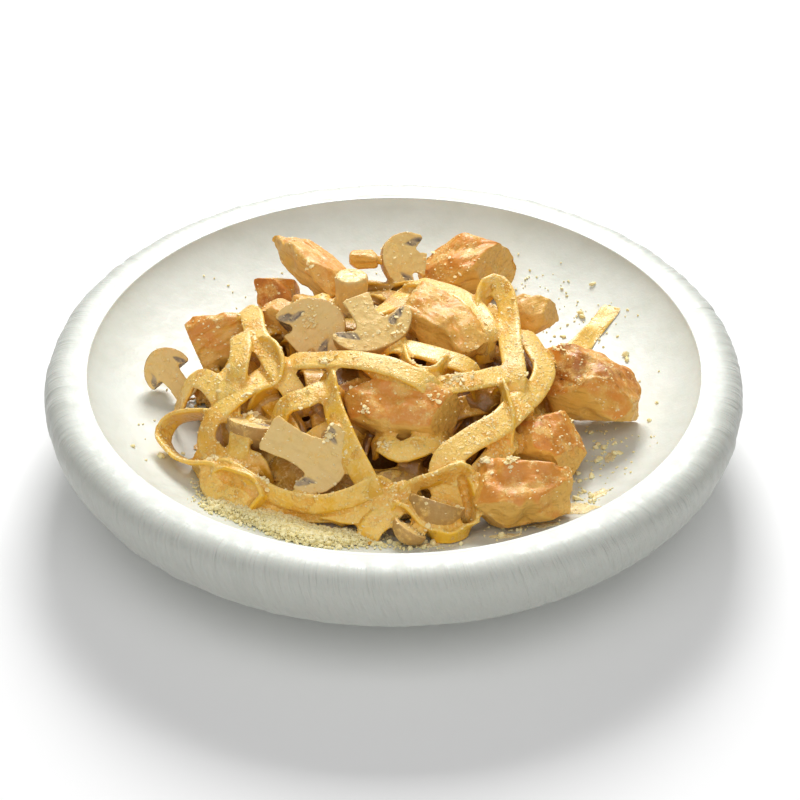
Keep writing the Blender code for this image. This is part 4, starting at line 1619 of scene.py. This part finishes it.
@dataclass
class RibbonBatch:
    """Flat noodles swept along their routes and gathered into one mesh."""

    heap: HeapForm
    grown: float = 0.0
    thickness: float = 1.6
    width_wave: float = 0.07
    thickness_wave: float = 0.22
    cupping: float = 0.9
    wave: float = 0.35
    end_taper: float = 0.86
    points: list[Vector] = field(default_factory=list)
    faces: list[tuple[int, ...]] = field(default_factory=list)
    tones: list[float] = field(default_factory=list)

    def section(self, half_width: float, half_thickness: float) -> list[Pair]:
        """Closed outline of a noodle's section, with round edges: across, then out.

        Args:
            half_width: Half of its width.
            half_thickness: Half of its thickness.

        Returns:
            The points, in order.
        """
        corner = min(half_thickness, half_width) * 0.9
        flat = half_width - corner
        right = [math.radians(angle) for angle in (-70, -35, 0, 35, 70)]
        edge = [(flat + corner * math.cos(a), half_thickness * math.sin(a)) for a in right]
        top = [(flat * share, half_thickness) for share in (0.75, 0.25, -0.25, -0.75)]
        far_edge = [(-across, -out) for across, out in edge]
        bottom = [(-across, -out) for across, out in top]
        return [*edge, *top, *far_edge, *bottom]

    def add(self, path: list[Vector], rolls: Pair, width: float, seed: int, surface: Surface) -> None:
        """Sweep one noodle along a path.

        Args:
            path: Points of its middle line.
            rolls: Its roll off the surface at both ends, in degrees.
            width: Its width.
            seed: Chooses its own waves and unevenness.
            surface: The height function that it lies on.
        """
        first = len(self.points)
        count = len(path)
        draw = random.Random(seed)
        tone = draw.random()
        run = 0.0
        size = 0
        for index, place in enumerate(path):
            ahead = path[min(index + 1, count - 1)]
            behind = path[max(index - 1, 0)]
            if index:
                run += (place - path[index - 1]).length
            direction = (ahead - behind).normalized()
            outward = self.heap.outward(surface, place.x, place.y)
            across = direction.cross(outward).normalized()
            share = index / (count - 1)
            roll = math.radians(rolls[0] * (1 - share) + rolls[1] * share)
            across = Matrix.Rotation(roll, 3, direction) @ across
            out = across.cross(direction)
            spot = Vector((run, seed * 13.7, 0.0))
            half_width = width / 2 * (1 + self.width_wave * lump(spot, 11.0, 1)) + self.grown
            half_thickness = self.thickness / 2 * (1 + self.thickness_wave * lump(spot, 8.0, 2)) + self.grown
            cup = self.cupping * lump(spot, 24.0, 5)
            wave = self.wave * lump(spot, 9.0, 6)
            taper = self.end_taper if index in (0, count - 1) else 1.0
            outline = self.section(half_width * taper, half_thickness * taper)
            size = len(outline)
            for side, rise in outline:
                reach = side / half_width
                bend = cup * (reach * reach - 0.4) + wave * reach
                self.points.append(place + across * side + out * (rise + bend))
                self.tones.append(tone)
        for index in range(count - 1):
            start = first + index * size
            for number in range(size):
                near = start + number
                beside = start + (number + 1) % size
                self.faces.append((near, beside, beside + size, near + size))
        self.faces.append(tuple(range(first + size - 1, first - 1, -1)))
        last = first + (count - 1) * size
        self.faces.append(tuple(range(last, last + size)))

    def piece(self, name: str) -> Piece:
        """Make the gathered noodles an object that stays off the bowl's floor.

        Args:
            name: The piece's name.

        Returns:
            The noodles as one mesh.
        """
        points = np.array([tuple(point) for point in self.points])
        bowl = self.heap.bowl
        points[:, 2] = np.maximum(points[:, 2], bowl.floors_at(points) + bowl.food_gap)
        made = mesh_piece(name, points, self.faces)
        paint(made, "tone", np.array(self.tones))
        # Painted shade: depth darkens the noodles deep and low in the heap.
        paint(made, "depth", self.heap.noodle_painted_shade(points))
        fix_normals(made)
        shade(made, 60.0)
        return made


@dataclass
class NoodleHeap:
    """The heap of fettuccine: the shown lengths, the ones under them, and the sauce between.

    A hollow is an open place in the heap: X, Y and radius. The sauce's gaps are what its upper
    and its lower side keep off the bowl's floor.
    """

    form: HeapForm
    toppings: list[Piece]
    step: float = 2.2
    dive_run: float = 4.0
    dive_depth: float = 9.0
    dive_least: float = 3.0
    laid_count: int = 130
    laid_seed: int = 4
    laid_step: float = 6.0
    laid_width: float = 8.3
    laid_tuck: float = 4.5
    laid_lifts: tuple[float, ...] = (-2.4, 0.0, 2.0, 3.9)
    laid_points: tuple[int, int] = (9, 20)
    laid_turns: Pair = (55, 110)
    laid_bend: float = 0.022
    laid_reach: float = 0.96
    laid_edge: float = 0.99
    laid_wave: float = 0.8
    laid_wander: float = 0.12
    laid_roll: float = 28
    topping_gap: float = 1.6
    core_sink: float = 3.5
    film: float = 0.85
    topping_film: float = 0.52
    film_below: float = 0.26
    film_cover: float = 0.38
    voxel: float = 0.62
    hollows: tuple[Point, ...] = (
        (10, -31, 9), (-34, -36, 7), (-5, -63, 8), (20, -60, 7), (-70, -45, 7), (-52, -70, 6), (33, -53, 7),
        (-46, -8, 6), (22, 14, 6), (-72, -12, 6),
    )
    hollow_depth: float = 11.0
    sauce_faces: int = 190000
    sauce_gaps: Pair = (0.35, 0.05)
    routes: list[list[Vector]] = field(default_factory=list)
    noodle: NoodleFinish = field(default_factory=NoodleFinish)
    sauce: SauceFinish = field(default_factory=SauceFinish)

    def with_dives(self, strand: Strand) -> list[Vector]:
        """A strand's points with each covered end led down into the core.

        Args:
            strand: The strand.

        Returns:
            The points, with one more at each covered end.
        """
        points = [Vector(point) for point in strand.points]
        for index, inner_index, dives in ((0, 1, strand.dives[0]), (-1, -2, strand.dives[1])):
            if not dives:
                continue
            end = points[index]
            run = end - points[inner_index]
            run.z = 0.0
            if run.length > 0.1:
                run *= self.dive_run / run.length
            deep = end + run
            deep.z = min(end.z - self.dive_least, self.form.height(deep.x, deep.y) - self.dive_depth)
            if index == 0:
                points.insert(0, deep)
            else:
                points.append(deep)
        return points

    def laid_routes(self) -> list[list[Vector]]:
        """Routes of the lengths laid by rule over the whole core, pressed under the toppings.

        Returns:
            The points of each route.
        """
        draw = random.Random(self.laid_seed)
        trees = [search_tree(topping) for topping in self.toppings]
        centre = Vector(self.form.core_centre)
        routes = []
        for index in range(self.laid_count):
            bearing = draw.uniform(0.0, math.tau)
            reach = math.sqrt(draw.uniform(0.0, 1.0)) * self.laid_reach * self.form.core_radius
            spot = centre + Vector((math.cos(bearing), math.sin(bearing))) * reach
            heading = bearing + draw.choice((-1, 1)) * math.radians(draw.uniform(*self.laid_turns))
            bend = draw.uniform(-self.laid_bend, self.laid_bend)
            lift = self.laid_lifts[index % len(self.laid_lifts)]
            route = []
            for _ in range(draw.randint(*self.laid_points)):
                outside = (spot - centre).length > self.laid_edge * self.form.core_radius
                if outside or self.hollow_at(spot.x, spot.y) > 0.3:
                    break
                wave = self.laid_wave * lump(Vector((*spot, 0.0)), 9.0, index)
                height = self.form.core(spot.x, spot.y) + lift + wave
                for tree in trees:
                    above = tree.ray_cast(Vector((spot.x, spot.y, 0.0)), Vector((0.0, 0.0, 1.0)))[0]
                    if above is not None:
                        height = min(height, above.z - self.topping_gap)
                route.append(Vector((spot.x, spot.y, height)))
                spot = spot + Vector((math.cos(heading), math.sin(heading))) * self.laid_step
                heading += bend * self.laid_step + self.laid_wander * draw.uniform(-1, 1)
            if len(route) > 3:
                route[0].z -= self.laid_tuck
                route[-1].z -= self.laid_tuck
                routes.append(route)
        return routes

    def hollow_at(self, x: float, y: float) -> float:
        """How far a place is inside one of the heap's open hollows, from 0 to 1."""
        depths = [1.0 - ((x - hx) ** 2 + (y - hy) ** 2) / size ** 2 for hx, hy, size in self.hollows]
        return max(0.0, *depths)

    def ribbons(self, name: str, grown: float, shown: bool) -> Piece:
        """Sweep the shown or the laid lengths.

        Args:
            name: The piece's name.
            grown: How far each surface is pushed out.
            shown: Whether the listed lengths are made, or the ones laid by rule.

        Returns:
            All of them as one mesh.
        """
        batch = RibbonBatch(self.form, grown)
        if shown:
            for number, strand in enumerate(SHOWN_STRANDS):
                if grown > 0.0 and not all(strand.dives):
                    continue  # a length that ends in the open has no sauce round it
                path = smooth_path(self.with_dives(strand), self.step)
                LOG.debug("%s: %d points along", strand.name, len(path))
                batch.add(path, strand.rolls, strand.width, number, self.form.height)
        else:
            for number, route in enumerate(self.routes):
                draw = random.Random(number)
                roll = draw.uniform(-self.laid_roll, self.laid_roll)
                path = smooth_path(route, self.step)
                batch.add(path, (roll, -roll), self.laid_width, 100 + number, self.form.core)
        return batch.piece(name)

    def core_piece(self) -> Piece:
        """The heap's inside, a dome from a subdivided ball.

        Returns:
            The dome.
        """
        clear_selection()
        bpy.ops.mesh.primitive_ico_sphere_add(subdivisions=6, radius=MM)
        core = named("heap_core")
        unit = read_points(core)
        points = unit.copy()
        centre_x, centre_y = self.form.core_centre
        bowl = self.form.bowl
        for row, source in zip(points, unit):
            reach = self.form.edge(centre_x + source[0], centre_y + source[1])
            x, y = centre_x + reach * source[0], centre_y + reach * source[1]
            ground = bowl.floor_at(x, y) + bowl.food_gap
            sunk = self.form.core(x, y) - self.core_sink - self.hollow_depth * self.hollow_at(x, y)
            row[:] = (x, y, max(sunk, ground + 0.1) if source[2] > 0 else ground)
        write_points(core, points)
        return core

    def sauce_piece(self) -> Piece:
        """Sauce that fills the creases: all that lies in it, swollen, joined, and drawn back in.

        Returns:
            The finished sauce.
        """
        swollen = [
            self.ribbons("swollen_shown", self.film, True),
            self.ribbons("swollen_laid", self.film, False),
            self.core_piece(),
        ]
        for topping in self.toppings:
            twin = copied(topping, topping.name + "_swollen")
            write_points(twin, read_points(twin) + read_normals(twin) * self.topping_film)
            swollen.append(twin)
        sauce = join_pieces("cream_sauce", swollen)
        worked(sauce, "REMESH", mode="VOXEL", voxel_size=self.voxel * MM)
        worked(sauce, "SMOOTH", factor=0.5, iterations=2)
        LOG.info("sauce skin: %d faces", len(sauce.data.polygons))
        points = read_points(sauce)
        thick = 0.5 + 0.9 * lump_field(points, 10.0, 12) + 0.3 * lump_field(points, 3.5, 13)
        cover = np.clip(thick, 0.0, 1.0)
        drawn = self.film + self.film_below - self.film_cover * cover
        normals = read_normals(sauce)
        points -= normals * drawn[:, None]
        lowest = self.form.bowl.floors_at(points) + np.where(normals[:, 2] > 0.0, *self.sauce_gaps)
        points[:, 2] = np.maximum(points[:, 2], lowest)
        write_points(sauce, points)
        share = self.sauce_faces / (2 * len(sauce.data.polygons))
        if share < 1.0:
            worked(sauce, "DECIMATE", ratio=share)
        # Painted shade: depth darkens the sauce deep in the heap.
        paint(sauce, "depth", self.form.depth(read_points(sauce)))
        shade(sauce)
        return sauce

    def dress(self) -> list[Piece]:
        """Build the heap in place of its solid and return its pieces.

        Returns:
            The dressed pieces.
        """
        self.routes = self.laid_routes()
        noodle = self.noodle.material()
        shown = self.ribbons("noodles_shown", 0.0, True)
        laid = self.ribbons("noodles_laid", 0.0, False)
        sauce = self.sauce_piece()
        place_as(shown, Slot.NOODLES, noodle, "noodles")
        place_as(laid, Slot.NOODLES, noodle, "noodles")
        place_as(sauce, Slot.NOODLES, self.sauce.material(), "noodles")
        return [shown, laid, sauce]


@dataclass
class Smears:
    """Thin sauce left on the bowl's floor: place, half length, half width and bearing of each."""

    bowl: Bowl
    spots: tuple[tuple[float, float, float, float, float], ...] = (
        (62, -78, 10.0, 4.6, 145), (52, -88, 5.0, 2.6, 160), (72, -70, 3.6, 2.6, 60), (12, -96, 4.2, 2.2, 5),
        (38, -93, 5.5, 2.0, 170), (78, -44, 3.6, 2.0, 75), (66, 30, 4.0, 2.4, 40),
    )
    height: float = 0.6
    ragged: float = 0.4
    gap: float = 0.06
    finish: SauceFinish = SauceFinish(
        "thin_sauce", cream=(0.92, 0.76, 0.42), warm=(0.90, 0.70, 0.34), pale=(0.97, 0.86, 0.55)
    )

    def build(self, number: int, spot: tuple[float, float, float, float, float]) -> Piece:
        """Press a ball into one flat, ragged smear.

        Args:
            number: Chooses its edge.
            spot: Its place and sizes.

        Returns:
            The smear.
        """
        x, y, half_length, half_width, bearing = spot
        clear_selection()
        bpy.ops.mesh.primitive_ico_sphere_add(subdivisions=5, radius=MM)
        piece = named(f"smear_{number}")
        unit = read_points(piece)
        reach = 1.0 + self.ragged * lump_field(unit * (1.6, 1.6, 0.0), 0.7, 60 + number)
        level = np.zeros(len(unit))
        flat = np.column_stack((half_length * reach * unit[:, 0], half_width * reach * unit[:, 1], level))
        points = turned(flat, Matrix.Rotation(math.radians(bearing), 3, "Z"), (x, y, 0.0))
        swell = 0.8 + 0.9 * lump_field(points, 2.4, 70 + number)
        top = self.height * swell * np.maximum(0.0, unit[:, 2])
        points[:, 2] = self.bowl.floors_at(points) + self.gap + top
        write_points(piece, points)
        return piece

    def dress(self) -> None:
        """Lay every smear, as one mesh."""
        pieces = [self.build(number, spot) for number, spot in enumerate(self.spots)]
        smears = join_pieces("sauce_smears", pieces)
        paint(smears, "depth", np.zeros(len(smears.data.vertices)))
        fix_normals(smears)
        shade(smears)
        place_as(smears, Slot.NOODLES, self.finish.material())


@dataclass
class GratedCheese:
    """The drift on the floor and the crumbs that cling to everything.

    The drift lies on the floor between two bearings, in degrees. A cluster is the middle of a
    small pile of crumbs. A fallen lot is a place, a spread and a number of crumbs.
    """

    bowl: Bowl
    carriers: list[Piece]
    start: float = 228.0
    end: float = 266.0
    radius: float = 94.0
    half_width: float = 8.0
    wander: float = 2.0
    height: float = 3.2
    drift_grains: int = 5200
    clinging: int = 8400
    strewn: tuple[Pair, Pair] = ((-96, 92), (-97, 76))
    clusters: tuple[Pair, ...] = (
        (-10, -58), (-50, -44), (-48, -51), (24, -87), (12, -94), (40, -78), (31, -74), (-22, -66), (6, -40),
        (-3, -66), (-24, -36), (22, -44), (48, -24), (-58, -2), (-64, -60), (-44, -75), (2, -18), (-30, -8),
        (60, -14), (-8, 8), (24, 50), (-34, 34), (-14, -46), (14, -54),
    )
    fallen: tuple[tuple[Pair, float, int], ...] = (
        ((72, 42), 9.0, 60), ((82, -10), 14.0, 50), ((76, -34), 9.0, 70), ((70, -60), 12.0, 90),
        ((63, -76), 7.0, 110), ((40, -89), 5.0, 40), ((12, -95), 4.0, 60), ((58, 64), 9.0, 30),
        ((0, 80), 30.0, 18), ((-67, 73), 14.0, 14), ((-90, -40), 16.0, 30),
    )
    fallen_radius: float = 104
    grain_gap: float = 0.05
    seed: int = 8
    finish: CheeseFinish = field(default_factory=CheeseFinish)
    sauced: CheeseFinish = CheeseFinish("sauced_cheese", (0.99, 0.84, 0.48), (0.96, 0.72, 0.30))

    def drift_place(self, along: float, across: float) -> Point:
        """Place on the floor for shares of the drift's half length and half width.

        Args:
            along: Share of the half length, from the drift's middle.
            across: Share of the half width, outwards.

        Returns:
            The place, just clear of the floor.
        """
        angle = math.radians((self.start + self.end) / 2 + (self.end - self.start) / 2 * along)
        radius = self.radius + self.half_width * across + self.wander * math.sin(5 * along)
        height = self.bowl.floor_curve(radius) + self.bowl.food_gap
        return radius * math.cos(angle), radius * math.sin(angle), height

    def grain_size(self, draw: random.Random, share: float, fine: Pair, coarse: Pair) -> float:
        """Draw a grain's size: fine for a share of the grains, and coarse for the others."""
        return draw.uniform(*(fine if draw.random() < share else coarse))

    def drift(self) -> Piece:
        """The low uneven bed of the drift.

        Returns:
            The bed.
        """
        clear_selection()
        bpy.ops.mesh.primitive_ico_sphere_add(subdivisions=6, radius=MM)
        piece = named("cheese_drift")
        unit = read_points(piece)
        points = unit.copy()
        for row, source, grit in zip(points, unit, lump_field(unit * 40, 2.4, 6)):
            x, y, height = self.drift_place(source[0], source[1])
            if source[2] > 0:
                swell = 0.75 + 0.5 * lumps(Vector(source) * 40, 9.0, 5).z + 0.3 * grit
                height += self.height * source[2] * swell
            row[:] = (x, y, height)
        write_points(piece, points)
        fix_normals(piece)
        shade(piece)
        return piece

    def grain_shape(self) -> tuple[np.ndarray, np.ndarray]:
        """Points and faces of one rough grain.

        Returns:
            The points, and the faces as vertex numbers.
        """
        form = bmesh.new()
        bmesh.ops.create_icosphere(form, subdivisions=1, radius=1.0)
        points = np.array([tuple(vertex.co) for vertex in form.verts])
        faces = np.array([[vertex.index for vertex in face.verts] for face in form.faces])
        form.free()
        return points, faces

    def grains(self, name: str, spots: list[Spot], flat: float = 1.0) -> Piece:
        """Lay a grain of its own size and turn at every spot, as one mesh.

        Args:
            name: The piece's name.
            spots: Place and size of each grain.
            flat: Factor on their heights, below 1 for grains sunk in sauce.

        Returns:
            The grains.
        """
        draw = random.Random(self.seed)
        shape, faces = self.grain_shape()
        all_points = []
        all_faces = []
        for number, (spot, size) in enumerate(spots):
            length, width, height = draw.uniform(0.8, 1.4), draw.uniform(0.65, 1.1), draw.uniform(0.55, 1.0)
            stretch = np.array((length, width, flat * height))
            rough = np.array([draw.uniform(0.72, 1.22) for _ in shape])
            spin = Matrix.Rotation(draw.uniform(0, math.tau), 3, "Z")
            tilt = Matrix.Rotation(draw.uniform(-0.9, 0.9), 3, "X")
            all_points.append(turned(shape * rough[:, None] * stretch * size, spin @ tilt, tuple(spot)))
            all_faces.append(faces + number * len(shape))
        points = np.concatenate(all_points)
        points[:, 2] = np.maximum(points[:, 2], self.bowl.floors_at(points) + self.grain_gap)
        return mesh_piece(name, points, [tuple(row) for row in np.concatenate(all_faces).tolist()])

    def drift_spots(self) -> list[Spot]:
        """Places of the grains that make up the drift, thinning out towards its edge.

        Returns:
            Place and size of each grain.
        """
        draw = random.Random(self.seed + 1)
        spots = []
        for _ in range(self.drift_grains):
            along = draw.gauss(0.0, 0.5)
            across = draw.gauss(0.0, 0.5)
            reach = math.hypot(along, across)
            if reach > 1.5:
                continue
            x, y, ground = self.drift_place(along, across)
            pile = self.height * 0.9 * math.sqrt(max(0.0, 1.0 - reach * reach))
            height = ground + pile + draw.uniform(-0.1, 0.7) * (reach < 1.0)
            size = self.grain_size(draw, 0.88, (0.25, 0.6), (0.7, 1.4))
            spots.append((Vector((x, y, height)), size))
        return spots

    def clinging_spots(self) -> list[Spot]:
        """Places of the crumbs on the noodles, chicken and mushrooms, in drifts of their own.

        Returns:
            Place and size of each crumb.
        """
        draw = random.Random(self.seed + 2)
        trees = [search_tree(carrier) for carrier in self.carriers]
        spots = []
        for _ in range(self.clinging):
            x = draw.uniform(*self.strewn[0])
            y = draw.uniform(*self.strewn[1])
            density = 0.5 + 0.9 * lump(Vector((x, y, 0.0)), 17.0, 21)
            if draw.random() > density:
                continue
            top = self.top_of(trees, x, y)
            if top is None:
                continue
            spots.append((top, self.grain_size(draw, 0.95, (0.3, 0.6), (0.7, 1.2))))
        for centre in self.clusters:
            spread = draw.uniform(0.6, 1.7)
            for _ in range(draw.randint(10, 26)):
                x = draw.gauss(centre[0], spread)
                y = draw.gauss(centre[1], spread)
                top = self.top_of(trees, x, y)
                if top is not None:
                    raised = top + Vector((0.0, 0.0, draw.uniform(0.0, 0.6)))
                    spots.append((raised, draw.uniform(0.45, 1.2)))
        return spots

    def top_of(self, trees: list[BVHTree], x: float, y: float) -> Vector | None:
        """The highest upward surface at a place, or nothing above the bowl's floor.

        Args:
            trees: Search trees of what can carry a crumb.
            x: Where it is along X.
            y: Where it is along Y.

        Returns:
            The point on that surface, or None.
        """
        top = None
        for tree in trees:
            hit = tree.ray_cast(Vector((x, y, 120.0)), Vector((0.0, 0.0, -1.0)))
            if hit[0] is not None and hit[1].z > 0.25 and (top is None or hit[0].z > top.z):
                top = hit[0]
        return top if top is not None and top.z > self.bowl.floor_at(x, y) + 1.0 else None

    def floor_spots(self) -> list[Spot]:
        """Places of the crumbs that fell on the bowl's floor, mostly at the right.

        Returns:
            Place and size of each crumb.
        """
        draw = random.Random(self.seed + 3)
        spots = []
        for centre, spread, count in self.fallen:
            for _ in range(count):
                x = draw.gauss(centre[0], spread)
                y = draw.gauss(centre[1], spread)
                if math.hypot(x, y) > self.fallen_radius:
                    continue
                size = self.grain_size(draw, 0.85, (0.25, 0.6), (0.8, 1.5))
                spots.append((Vector((x, y, self.bowl.floor_at(x, y) + size * 0.4)), size))
        return spots

    def dress(self) -> None:
        """Build the drift and the crumbs."""
        material = self.finish.material()
        place_as(self.drift(), Slot.CHEESE, material, "grated_cheese")
        drift_grains = self.grains("cheese_drift_grains", self.drift_spots())
        place_as(drift_grains, Slot.CHEESE, material, "grated_cheese")
        crumbs = self.grains("cheese_crumbs", self.clinging_spots(), 0.5)
        place_as(crumbs, Slot.CHEESE, self.sauced.material())
        place_as(self.grains("cheese_floor_crumbs", self.floor_spots()), Slot.CHEESE, material)


@dataclass(frozen=True)
class Lamp:
    """One square soft light: place and size in metres, and power in watts."""

    name: str
    place: Point
    size: float
    power: float


@dataclass
class Studio:
    """Pale floor, soft light from above and behind, and the photograph's camera."""

    aim: Point = (2.2, -29.4, 46.0)
    distance: float = 750.0
    elevation: float = 36.28
    lens: float = 93.4
    floor_size: float = 6.0
    floor_colour: Colour = (0.92, 0.92, 0.92)
    lamps: tuple[Lamp, ...] = (
        Lamp("key_light", (0.02, 0.98, 0.84), 0.52, 18.0),
        Lamp("front_light", (0.0, -0.75, 1.0), 1.5, 8.6),
    )
    lit_place: Point = (0, 0, 0.03)
    sky_strength: float = 0.24

    def floor(self) -> None:
        """A pale floor under the bowl."""
        clear_selection()
        bpy.ops.mesh.primitive_plane_add(size=self.floor_size)
        floor = named("studio_floor")
        sheet = Sheet("pale_floor")
        floor.data.materials.append(sheet.close(Base_Color=self.floor_colour, Roughness=0.8))

    def light(self, lamp: Lamp) -> None:
        """Add a lamp that faces the bowl.

        Args:
            lamp: Its place, size and power.
        """
        clear_selection()
        bpy.ops.object.light_add(type="AREA", location=lamp.place)
        made = named(lamp.name)
        made.data.size = lamp.size
        made.data.energy = lamp.power
        made.rotation_mode = "QUATERNION"
        made.rotation_quaternion = (Vector(self.lit_place) - Vector(lamp.place)).to_track_quat("-Z", "Y")

    def camera(self) -> None:
        """The camera at the photograph's angle."""
        clear_selection()
        tilt = math.radians(self.elevation)
        back = Vector((0.0, -math.cos(tilt), math.sin(tilt)))
        bpy.ops.object.camera_add(location=(Vector(self.aim) + back * self.distance) * MM)
        camera = named("photo_camera")
        camera.rotation_mode = "QUATERNION"
        camera.rotation_quaternion = (-back).to_track_quat("-Z", "Y")
        camera.data.lens = self.lens
        camera.data.sensor_width = 36.0
        camera.data.clip_start = 0.01
        bpy.context.scene.camera = camera

    def world(self) -> None:
        """Even pale light from all round."""
        world = bpy.data.worlds.new("studio_world")
        world.use_nodes = True
        background = world.node_tree.nodes["Background"]
        background.inputs["Color"].default_value = (1.0, 1.0, 1.0, 1.0)
        background.inputs["Strength"].default_value = self.sky_strength
        bpy.context.scene.world = world
        bpy.context.scene.view_settings.view_transform = "Standard"

    def set_up(self) -> None:
        """Build the whole studio."""
        self.floor()
        for lamp in self.lamps:
            self.light(lamp)
        self.camera()
        self.world()


def main() -> None:
    """Build every sub-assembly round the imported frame, then the studio."""
    logging.basicConfig(level=logging.INFO, format="%(relativeCreated)7d ms %(name)s: %(message)s")
    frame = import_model()
    LOG.info("frame with %d nodes", len(frame["nodes"]))
    bowl = Bowl()
    bowl.dress()
    toppings = Chicken(bowl).dress() + Mushrooms(bowl).dress()
    heap = NoodleHeap(HeapForm(bowl), toppings)
    carriers = toppings + heap.dress()
    Smears(bowl).dress()
    GratedCheese(bowl, carriers).dress()
    Studio().set_up()


if __name__ == "__main__":
    main()
